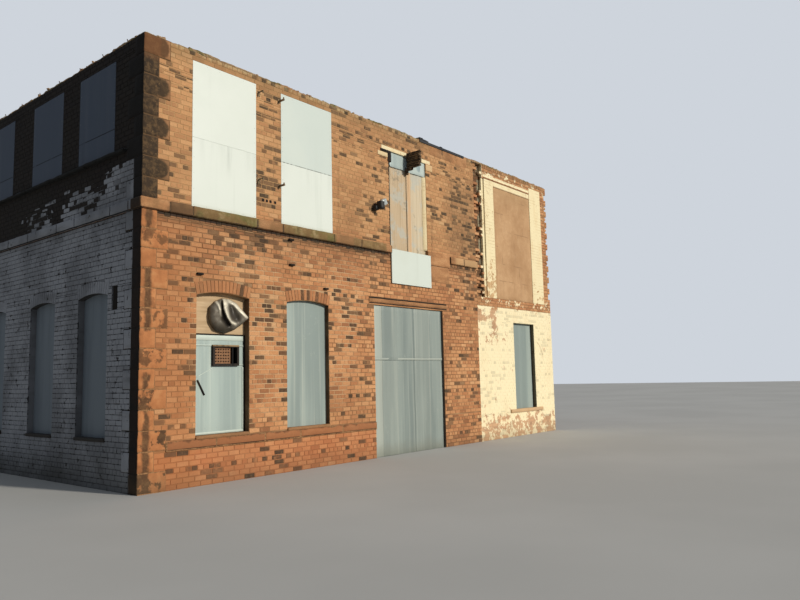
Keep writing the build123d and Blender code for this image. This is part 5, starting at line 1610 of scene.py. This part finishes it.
# %% Lumps on the ridge
lump_shape = Blocks()
lump_shape.add((-0.5, -0.5, -0.5), (0.5, 0.5, 0.5), step=0.5, ease=0.22, rough=0.2, scale=1.7)
lump = make_object("template lump", lump_shape.build)
lumps = BrickPoints(31)


def scatter(count, low, high):
    """Lumps at chance places in a box, each wider than high and turned its own way."""
    draw = lumps.rng
    for _ in range(count):
        place = Vector([draw.uniform(a, b) for a, b in zip(low, high)])
        wide = draw.uniform(0.025, 0.085)
        size = (wide * draw.uniform(0.9, 1.8), wide, wide * draw.uniform(0.4, 0.7))
        turn = (draw.uniform(-0.2, 0.2), draw.uniform(-0.2, 0.2), draw.uniform(0, 6.3))
        lumps.point(place, size, turn, draw.random() ** 2)


scatter(330, (LEFT + 0.02, FRONT + 0.03, HEAD + 0.010), (LEFT + 7.6, FRONT + 0.32, HEAD + 0.024))
scatter(190, (LEFT + 9.6, FRONT + 0.03, HEAD + 0.010), (RIGHT - 0.03, FRONT + 0.32, HEAD + 0.022))
scatter(190, (LEFT + 0.03, FRONT + 0.3, HEAD + 0.008), (LEFT + 0.30, BACK - 0.3, HEAD + 0.020))
scatter(150, (RIGHT - 0.30, FRONT + 0.3, HEAD + 0.008), (RIGHT - 0.03, BACK - 0.3, HEAD + 0.018))
scatter(260, (LEFT + 0.05, BACK - 0.30, HEAD + 0.008), (RIGHT - 0.05, BACK - 0.03, HEAD + 0.020))
build_layer("wall_head_lumps", lumps, lump, head_mortar, 12, tilt=0.3, seat=0.0, wear=0.012,
            wear_size=30.0)
bpy.data.objects.remove(lump)

# %% Laps of the roofing felt
LAP, LAP_INSET = 0.9, 0.38
roof_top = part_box("roof_felt")[1][2] - 0.035

laps = Blocks()
for i in range(int((DEPTH - LAP) / LAP)):
    y = FRONT + 0.40 + i * LAP
    top = roof_top + 0.005 + 0.003 * (i % 2)
    laps.add((LEFT + LAP_INSET, y, roof_top - 0.002), (RIGHT - LAP_INSET, y + LAP + 0.05, top), step=0.3,
             ease=0.004, rough=(0.012, 0.014, 0.003), scale=1.5, tone=rng.random())
laps.done("roof_felt_laps", felt, "roofing_felt")

# %% [markdown]
# ## First ground window
#
# Plywood closes its top and a steel sheet the rest. Flat straps, a strip of timber down the right jamb
# and a pale rail at the foot hold them. There is a gap under the plywood, with a dark strip of painted
# shade in it, and a pale and a dark strip along a fold in the sheet paint its highlight and its shade.
# A worn block with a thin edge makes each of them, because straps and strips are long boxes and only
# their edges show.

# %% Steel straps, the rail at the foot, and a painted highlight along a fold
SHEET, PANEL = 0.15, (1.075, 2.204)
ply_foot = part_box("window_1_ply")[0][2]

straps = Blocks()
flat = {"ease": 0.003, "rough": (0.001, 0.002, 0.001)}
straps.on(PANEL, (SHEET - 0.012, SHEET), (2.43, 2.458), **flat)
straps.on((2.087, PANEL[1]), (SHEET - 0.012, SHEET), (2.082, 2.104), **flat)
straps.on(PANEL, (SHEET - 0.008, SHEET), (ply_foot - 0.115, ply_foot - 0.024), ease=0.004,
          rough=(0.001, 0.003, 0.002), tone=0.8)
straps.on(PANEL, (SHEET - 0.016, SHEET), (0.855, 0.90), ease=0.006, rough=0.002, tone=1.0)
# A pale strip along a fold in the sheet: its painted highlight.
(xa, za), (xb, zb) = (1.514, 2.033), (1.2, 1.876)
straps.around((LEFT + (xa + xb) / 2, FRONT + SHEET - 0.003, (za + zb) / 2),
              (math.hypot(xb - xa, zb - za) / 2, 0.004, 0.006), ease=0.002, rough=0.001, tone=1.0,
              turn=Matrix.Rotation(-math.atan2(zb - za, xb - xa), 3, "Y"))
straps.on((2.182, 2.206), (SHEET - 0.014, SHEET), (0.90, 2.05), ease=0.004, rough=0.002, tone=1.0)
straps.done("window_1_straps", pale_steel, "steel_sheet")

# %% Timber strip, painted shade in the gap under the plywood, and a slanting strip of painted shade
strips = Blocks()
strips.on((2.206, 2.231), (0.12, 0.15), (0.853, ply_foot - 0.004), ease=0.005,
          rough=(0.004, 0.002, 0.002))
# Painted shade in the gap under the plywood.
strips.on((PANEL[0], 2.231), (0.147, 0.156), (ply_foot - 0.022, ply_foot + 0.006), ease=0.003,
          rough=0.001)
# A dark slanting strip along the fold: its painted shade.
strips.around((LEFT + 1.274, FRONT + SHEET - 0.012, 1.688), (0.154, 0.008, 0.015), ease=0.004, rough=0.002,
              turn=Matrix.Rotation(math.atan2(0.269, 0.148), 3, "Y"))
strips.done("window_1_strips", dark_gap, "old_timber")

# %% [markdown]
# ## Crumpled cowl
#
# The cowl on the plywood is sheet metal that was beaten in. Noise alone would not give its folds. So its
# depth is worked out ring by ring from its middle to its outline, raised along its crests, and pushed in
# along a fold and a hollow. Each place then slides along the camera's line of sight, so the outline that
# was measured at one depth still holds.

# %% Outline, crests and folds, from the wall's left end and the ground
COWL_RIM = [(2.277, 2.973), (2.136, 3.099), (1.974, 3.240), (1.815, 3.304), (1.659, 3.312), (1.485, 3.244),
            (1.378, 3.146), (1.348, 2.982), (1.380, 2.839), (1.488, 2.698), (1.706, 2.651), (1.930, 2.732),
            (2.090, 2.832)]
# Crests stand out with a painted highlight; the fold and the hollow sink in with painted shade.
CRESTS = [((1.70, 3.29), (1.755, 3.19), (1.775, 3.07), (1.81, 2.95), (1.86, 2.875), (1.96, 2.845)),
          ((1.80, 3.29), (1.93, 3.22), (2.05, 3.14), (2.25, 2.99))]
SIDE_CREST = [((1.53, 3.24), (1.585, 3.18), (1.632, 3.08), (1.650, 2.99))]
FOLD = [((1.655, 3.27), (1.668, 3.12), (1.685, 3.02), (1.715, 2.93), (1.80, 2.84))]
HOLLOW = [((1.865, 3.15), (1.90, 3.04), (1.98, 2.95))]
COWL_CENTRE = (1.76, 2.985)
EYE_HEIGHT, EYE_AWAY = 1.806, 10.66
SIGHT_DEPTH, SIGHT_SLOPE = 0.06, 0.789
print("points of the rim", len(COWL_RIM))

# %% Distances on the cowl
def rim_reach(angle):
    """How far a ray from the cowl's middle goes until it meets the rim."""
    reach = 0.0
    dx, dz = math.cos(angle), math.sin(angle)
    for (ax, az), (bx, bz) in zip(COWL_RIM, COWL_RIM[1:] + COWL_RIM[:1]):
        ex, ez = bx - ax, bz - az
        cross = dx * ez - dz * ex
        if abs(cross) > 1e-9:
            t = ((ax - COWL_CENTRE[0]) * ez - (az - COWL_CENTRE[1]) * ex) / cross
            along = ((ax - COWL_CENTRE[0]) * dz - (az - COWL_CENTRE[1]) * dx) / cross
            if t > 0 and -1e-6 <= along <= 1 + 1e-6:
                reach = max(reach, t)
    return reach


def line_distance(lines, x, z):
    near = 9.0
    for line in lines:
        for (ax, az), (bx, bz) in zip(line, line[1:]):
            dx, dz = bx - ax, bz - az
            t = clamp(((x - ax) * dx + (z - az) * dz) / (dx ** 2 + dz ** 2))
            near = min(near, math.hypot(x - ax - t * dx, z - az - t * dz))
    return near


def near_line(lines, x, z, width):
    """1 on the lines, falling off smoothly beside them."""
    return math.exp(-((line_distance(lines, x, z) / width) ** 2))


print("from the middle to the beak", round(rim_reach(0.0), 3))

# %% Relief of the cowl
def cowl_relief(x, z, share):
    """Depth and tone of a place on the cowl. The tone paints highlights on the crests and shade in the fold,
    the hollow and the lower left. Its share is 0 in the middle and 1 on the rim.
    """
    right = clamp((x - 1.75) / 0.5)
    rim = 0.150 - 0.17 * right * right * (3 - 2 * right) * share
    dome = math.sqrt(max(0.0, 1 - share * share))
    depth = rim - (0.185 - 0.09 * right) * dome
    crest = near_line(CRESTS, x, z, 0.040 + 0.026 * clamp((z - 2.9) / 0.3))
    crest = max(crest, 0.85 * near_line(SIDE_CREST, x, z, 0.030))
    fold = near_line(FOLD, x, z, 0.054 - 0.036 * clamp((z - 2.98) / 0.12))
    hollow = 0.75 * near_line(HOLLOW, x, z, 0.080)
    hold = min(1.0, (1 - share) * 5)
    depth += hold * (0.075 * fold + 0.06 * hollow - 0.03
                     * crest) + 0.008 * noise.noise(Vector((x * 9, z * 9, 3)))
    # Painted shade at the cowl's lower left.
    below = clamp((2.87 - z) / 0.14) * clamp((1.95 - x) / 0.1)
    return min(depth, 0.1495), clamp(0.50 + 0.52 * crest - 0.66 * fold - 0.52 * hollow - 0.20 * below)


print("depth in the middle", round(cowl_relief(*COWL_CENTRE, 0.0)[0], 3))

# %% Skin of the cowl
RINGS, SPOKES = 22, 96


def cowl_rings(build):
    """Points of the skin, ring by ring from its middle outwards."""
    tones = build.verts.layers.float.new("tone")
    rows = []
    for ring in range(RINGS + 1):
        share = ring / RINGS
        row = []
        for spoke in range(SPOKES if ring else 1):
            angle = math.tau * spoke / SPOKES
            reach = rim_reach(angle) * share
            x, z = COWL_CENTRE[0] + reach * math.cos(angle), COWL_CENTRE[1] + reach * math.sin(angle)
            depth, tone = cowl_relief(x, z, share)
            behind = depth - SIGHT_DEPTH
            slid = (LEFT + x + behind * SIGHT_SLOPE, FRONT + depth, z + behind * (z - EYE_HEIGHT) / EYE_AWAY)
            point = build.verts.new(slid)
            point[tones] = tone
            row.append(point)
        rows.append(row)
    return rows


def crumpled_cowl():
    """The skin of the cowl, as thick as a real sheet."""
    build = bmesh.new()
    rows = cowl_rings(build)
    for spoke in range(SPOKES):
        after = (spoke + 1) % SPOKES
        build.faces.new((rows[0][0], rows[1][spoke], rows[1][after]))
        for inner, outer in zip(rows[1:], rows[2:]):
            build.faces.new((inner[spoke], outer[spoke], outer[after], inner[after]))
    face_forwards(build)
    skin = make_object("window_1_cowl_skin", build)
    skin.data.materials.append(cowl_metal)
    skin.data.shade_smooth()
    shell = skin.modifiers.new("sheet", "SOLIDIFY")
    shell.thickness = 0.004
    shell.offset = -1.0
    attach(skin, "root")
    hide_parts("window_1_cowl")
    print("cowl faces", len(skin.data.polygons))


crumpled_cowl()

# %% [markdown]
# ## Hoist beam and loading door
#
# The end of the beam has rotted and split along its grain, so it is a stack of ragged layers, each a worn
# block with its own length, and not one solid timber. Near-black strips paint the shade in the gaps beside
# the left board, where the door frame was, and under the lintel's left end.

# %% Layers of the hoist beam
LAYERS = 9
AT_WALL = FRONT - 0.004
(beam_left, beam_nose, beam_low), (beam_right, _, beam_high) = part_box("hoist_beam")
foot = beam_low + 0.07
tall = beam_high - foot

hoist = Blocks()
for layer in range(LAYERS):
    z0, z1 = foot + tall * layer / LAYERS, foot + tall * (layer + 1) / LAYERS - 0.007
    nose = beam_nose + rng.uniform(0.0, 0.035) + (0.02 if layer < 2 else 0.0)
    left, right = beam_left + rng.uniform(0.0, 0.018), beam_right - rng.uniform(0.0, 0.02)
    hoist.add((left, nose, z0), (right, AT_WALL, z1), step=0.025, ease=0.006, rough=(0.012, 0.02, 0.011),
              scale=11.0, tone=rng.random() ** 2)

# %% Core of the hoist beam, its foot at the wall and two stubs at its left
hoist.add((beam_left + 0.02, beam_nose + 0.05, beam_low + 0.1),
          (beam_right - 0.02, AT_WALL, beam_high - 0.02), ease=0.01, rough=0.01)
hoist.add((beam_left + 0.005, FRONT - 0.16, beam_low + 0.01), (beam_right - 0.01, AT_WALL, beam_low + 0.09),
          step=0.03, ease=0.02, rough=(0.01, 0.014, 0.012), scale=11.0)
hoist.add((beam_left - 0.02, FRONT - 0.05, beam_low - 0.1),
          (beam_left + 0.045, FRONT + 0.033, beam_low + 0.06), step=0.03, rough=(0.01, 0.01, 0.02))
hoist.add((beam_left - 0.08, FRONT - 0.05, 7.2), (beam_left + 0.02, FRONT - 0.012, 7.242), step=0.02,
          ease=0.01, rough=0.008)
hoist.done("hoist_timber", old_timber, "old_timber", replaces=["hoist_beam"])

# %% Fillet on the seam of the loading door's boards
boards_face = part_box("loading_door_boards")[0][1] - FRONT

fillet = Blocks()
fillet.on((7.118, 7.152), (boards_face + 0.002, boards_face + 0.02), (4.83, 6.87), step=0.1, ease=0.003,
          rough=0.002)
fillet.done("board_seam_fillet", loading_boards, "grey_boards")

# %% Sheets at the head of the loading door
head_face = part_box("loading_door_head_sheet")[0][1] - FRONT
head_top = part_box("loading_door_head_sheet")[1][2] - 0.002

head_skins = Blocks()
head_skins.on((6.495, 7.10), (head_face - 0.006, head_face + 0.004), (6.862, head_top), step=0.07,
              ease=0.004, rough=(0.004, 0.010, 0.006), scale=3.0, tone=0.5)
head_skins.on((7.17, 7.858), (head_face - 0.008, head_face + 0.004), (6.855, head_top), step=0.07,
              ease=0.004, rough=(0.004, 0.016, 0.016), scale=3.5, tone=0.9)
head_skins.done("loading_head_skins", head_steel, "steel_sheet")

# %% Painted shade in the gaps at the loading door, and at the back of the slot in the side
gaps = Blocks()
gaps.on((6.10, 6.42), (-0.024, 0.03), (pad_top - 0.072, pad_top - 0.003), ease=0.006)
gaps.on((6.365, 6.490), (-0.020, 0.034), (6.95, pad_top - 0.003), ease=0.006)
gaps.on((6.388, 6.424), (-0.006, 0.02), (4.83, 6.96), step=0.1, ease=0.004, rough=0.003)
gaps.on((SLOT[0] + 0.002, SLOT[1] - 0.002), (0.02, 0.15), (3.062, 3.478), "left", step=0.1, ease=0.004,
        rough=0.002)
gaps.done("dark_gaps", dark_gap, "old_timber")

# %% Coat of render in the bay
left, right, low, high = hole_of("bay_panel")

coat = Blocks()
coat.on((left + 0.003, right - 0.003), (0.001, 0.029), (low + 0.003, high - 0.003), step=0.12,
        ease=0.008, rough=(0.003, 0.006, 0.003), scale=2.2)
coat.done("bay_render_coat", render, "brown_render")

# %% [markdown]
# ## Steel sheets over the yard door and windows
#
# The sheets are nailed over the openings. They are thin, so they bow between their nails and lap at the
# seams. Each is a worn block with a thin edge and a long, shallow wave, and no two have quite the same
# bloom.

# %% Yard door sheets
SEAMS = [5.783, 6.075, 6.62, 7.26, 7.86, 8.417]
SHEET_TONES = [0.95, 0.25, 0.0, 0.35, 0.1]
SHEET_ROWS = [(0.01, 2.235, 0.040), (2.175, hole_of("yard_door_sheets")[3] - 0.012, 0.030)]

skins = Blocks()
for column, (a, b) in enumerate(zip(SEAMS, SEAMS[1:])):
    for z0, z1, face in SHEET_ROWS:
        out = face - 0.004 * (column % 2)
        lap = 0.004 if column else 0.0
        skins.on((a - lap, b), (out, out + 0.006), (z0, z1), step=0.11, ease=0.003,
                 rough=(0.002, 0.008, 0.003), scale=1.7, tone=SHEET_TONES[column] + rng.uniform(-0.05, 0.15))
skins.on((SEAMS[0], SEAMS[-1]), (0.024, 0.030), (2.196, 2.236), step=0.2, ease=0.003,
         rough=(0.002, 0.003, 0.002), scale=2.0, tone=0.75)
skins.done("yard_door_skins", door_steel, "steel_sheet")

# %% Painted shadow lines round the yard door, and the cap on its lintel
yard_lines = Blocks()
# Painted shadow lines just above and below the lintel's cap, and down the door's right edge.
for z, high in ((3.612, 0.030), (3.492, 0.024)):
    yard_lines.on((5.61, 8.59), (-0.016, -0.006), (z - high / 2, z + high / 2), step=0.15, ease=0.003,
                  rough=(0.003, 0.002, 0.004), scale=5.0)
yard_lines.on((8.375, 8.418), (0.012, 0.03), (0.0, 3.44), step=0.2, ease=0.003, rough=0.003)
yard_lines.done("yard_door_lines", dark_gap, "old_timber")

yard_cap = Blocks()
yard_cap.on((5.605, 8.595), (-0.022, 0.04), (3.512, 3.592), step=0.1, ease=0.01, tone=0.2)
yard_cap.done("yard_door_cap", sandstone, "sandstone")

# %% Rolls of felt left on the wall head
rolls = Blocks()
for a, b, high in ((7.62, 7.78, 0.075), (7.74, 8.02, 0.05), (8.5, 8.62, 0.03)):
    rolls.on((a, b), (-0.036, 0.13), (HEAD + 0.006, HEAD + high), step=0.03, ease=0.025, rough=0.014)
rolls.done("felt_rolls", felt, "roofing_felt")

# %% [markdown]
# ## Screws, stubs and the lamp
#
# Each board and sheet is held by screws near its edge. They are all alike, so one low domed head is put
# on a point every 300 mm round each edge by Geometry Nodes. A few short irons stick out of the brickwork,
# where brackets have been sawn off, and the lamp has a pale lens turned to the right.

# %% Screws
OUTWARDS = {"front": Vector((0, -1, 0)), "left": Vector((-1, 0, 0)), "back": Vector((0, 1, 0))}
SCREW_INSET, SCREW_PITCH = 0.04, 0.30

screw_build = bmesh.new()
bmesh.ops.create_cone(screw_build, cap_ends=True, segments=8, radius1=0.5, radius2=0.3, depth=1.0,
                      matrix=Matrix.Rotation(math.pi / 2, 4, "X"))
screw = make_object("template screw", screw_build)
heads = BrickPoints(41)


def spread(low, high, count):
    """Even places from one screw's inset to the other's."""
    return [low + SCREW_INSET + (high - low - 2 * SCREW_INSET) * i / count for i in range(count + 1)]


def edge_screws(side, u0, u1, z0, z1, out):
    """Screws round a board, standing out from the wall's face."""
    across = max(2, round((u1 - u0) / SCREW_PITCH))
    tall = max(2, round((z1 - z0) / SCREW_PITCH))
    spots = [(u, z) for u in spread(u0, u1, across) for z in (z0 + SCREW_INSET, z1 - SCREW_INSET)]
    spots += [(u, z) for z in spread(z0, z1, tall)[1:-1] for u in (u0 + SCREW_INSET, u1 - SCREW_INSET)]
    for u, z in spots:
        heads.point(on_wall(side, u, z) + OUTWARDS[side] * out, (0.011, 0.006, 0.011), (0, 0, TURNS[side]))


# %% Screws round the boards and sheets
for centre in UPPER_WINDOWS:
    edge_screws("front", *around(centre, UPPER_WIDTH, STRING_TOP, UPPER_HEAD), 0.009)
edge_screws("front", LOADING[0], 7.93, LOADING_SILL, 4.82, 0.046)
edge_screws("front", 1.08, 2.16, 0.92, 2.52, -0.149)
edge_screws("front", 3.165, 4.325, 0.86, 3.32, -0.099)
edge_screws("front", *bay_window, -0.119)
for centre in SIDE_WINDOWS:
    edge_screws("left", *around(centre, SIDE_WIDTH, SIDE_SILL, SIDE_HEAD), 0.009)
for centre in BACK_WINDOWS:
    edge_screws("back", *around(centre, SIDE_WIDTH, SIDE_SILL, SIDE_HEAD), 0.009)
build_layer("board_screws", heads, screw, steel, 13, tilt=0.0, seat=0.0, wear=0.0)
bpy.data.objects.remove(screw)

# %% Sawn-off irons, and putlog holes as dark patches of painted shade
irons = Blocks()
for u, z in ((1.122, 3.698), (3.264, 4.605), (3.286, 4.094), (4.234, 3.682)):
    irons.on((u - 0.06, u + 0.06), (-0.062, -0.002), (z - 0.018, z + 0.018), step=0.03, ease=0.005,
             rough=(0.006, 0.006, 0.004), scale=20.0)
irons.done("sawn_irons", dark_gap, "rusty_iron")

# Putlog holes as dark patches on the brick face: painted shade.
holes = Blocks()
for u in (2.571, 2.662, 2.756, 2.875):
    holes.on((u - 0.028, u + 0.028), (-0.011, -0.001), (5.282, 5.334), step=0.02, ease=0.006, rough=0.003)
holes.done("putlog_holes", dark_gap, "old_timber")

# %% Lamp
(lamp_left, lamp_near, lamp_low), (lamp_right, lamp_far, lamp_high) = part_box("lamp_head")

lens = Blocks()
lens.around((lamp_right + 0.035, (lamp_near + lamp_far) / 2 + 0.01, lamp_high - 0.010), (0.085, 0.06, 0.075),
            step=0.03, ease=0.025, rough=0.003, turn=Matrix.Rotation(math.radians(-28), 3, "Y"))
lens.done("lamp_lens", lamp_lens, "lamp_shell")

lamp_body = Blocks()
lamp_body.add((lamp_left - 0.004, lamp_near - 0.002, lamp_low),
              (lamp_right + 0.004, lamp_far + 0.01, lamp_high), step=0.03, ease=0.03, rough=0.006, scale=8.0)
lamp_body.add((lamp_left - 0.05, lamp_far - 0.03, lamp_low - 0.02),
              (lamp_left + 0.06, AT_WALL, lamp_low + 0.09), step=0.03, ease=0.02, rough=0.005)
lamp_body.done("lamp_body", lamp_shell, "lamp_shell", replaces=["lamp_head"])

# %% [markdown]
# ## Floor, light and camera
#
# A pale floor and soft light like a photographer's studio. The key light comes from the front right, as
# the sun does in the picture, so the left side stays in shade. The camera stands where the picture was
# taken: at eye height, 10.6 m in front of the front face.

# %% Floor
FLOOR_HALF = 90

scene.view_settings.view_transform = "Standard"
floor_mesh = bpy.data.meshes.new("floor")
corners = [(-FLOOR_HALF, -FLOOR_HALF, 0), (FLOOR_HALF, -FLOOR_HALF, 0), (FLOOR_HALF, FLOOR_HALF, 0),
           (-FLOOR_HALF, FLOOR_HALF, 0)]
floor_mesh.from_pydata(corners, [], [(0, 1, 2, 3)])
floor = bpy.data.objects.new("floor", floor_mesh)
scene.collection.objects.link(floor)
f = Finish("floor")
pale = f.ramp(f.noise(0.2, 3.0), (0.4, (176, 175, 171)), (0.6, (182, 181, 177)))
floor_mesh.materials.append(f.done(pale, 0.95))

# %% Key light
SUN_WAY = Vector((-0.22, 0.92, -0.36))
sun = bpy.data.objects.new("key light", bpy.data.lights.new("key light", "SUN"))
sun.data.energy = 3.35
sun.data.angle = math.radians(4)
sun.data.color = (1.0, 0.94, 0.84)
sun.rotation_euler = SUN_WAY.to_track_quat("-Z", "Y").to_euler()
scene.collection.objects.link(sun)
print("key light shines towards", [round(v, 2) for v in SUN_WAY])

# %% Soft light from the sky, weaker from the left, and a plain backdrop for the camera
world = bpy.data.worlds.new("studio")
world.use_nodes = True
sky = world.node_tree
sky.nodes.clear()
direction = add(sky, "ShaderNodeTexCoord").outputs["Generated"]
towards = add(sky, "ShaderNodeVectorMath", {"operation": "DOT_PRODUCT"}, i0=direction, i1=(-1.0, 0.0, 0.0))
strength = add(sky, "ShaderNodeMapRange", Value=towards.outputs["Value"], From_Min=-0.2, From_Max=0.7,
               To_Min=0.42, To_Max=0.24)
fill = add(sky, "ShaderNodeBackground", Color=(0.76, 0.84, 0.96, 1), Strength=strength.outputs[0])
backdrop = add(sky, "ShaderNodeBackground", Color=shade(206, 212, 220), Strength=1.0)
seen = add(sky, "ShaderNodeLightPath").outputs["Is Camera Ray"]
both = add(sky, "ShaderNodeMixShader", i0=seen, i1=fill.outputs[0], i2=backdrop.outputs[0])
add(sky, "ShaderNodeOutputWorld", Surface=both.outputs[0])
scene.world = world
print("nodes of the sky", len(sky.nodes))

# %% Camera at the picture's place
SENSOR, PICTURE_WIDTH, FOCAL_PIXELS = 36.0, 800, 701.4
EYE = (-13.279, -15.388, EYE_HEIGHT)
HEADING, RAISED, ROLLED = -50.42, 6.206, -1.332

eye = bpy.data.objects.new("camera", bpy.data.cameras.new("camera"))
eye.data.sensor_width = SENSOR
eye.data.lens = FOCAL_PIXELS / PICTURE_WIDTH * SENSOR
eye.data.clip_end = 300
eye.location = EYE
heading = Matrix.Rotation(math.radians(HEADING), 3, "Z")
raised = Matrix.Rotation(math.radians(90 + RAISED), 3, "X")
rolled = Matrix.Rotation(math.radians(ROLLED), 3, "Z")
eye.rotation_euler = (heading @ raised @ rolled).to_euler()
scene.collection.objects.link(eye)
scene.camera = eye
print("lens", round(eye.data.lens, 2), "mm")
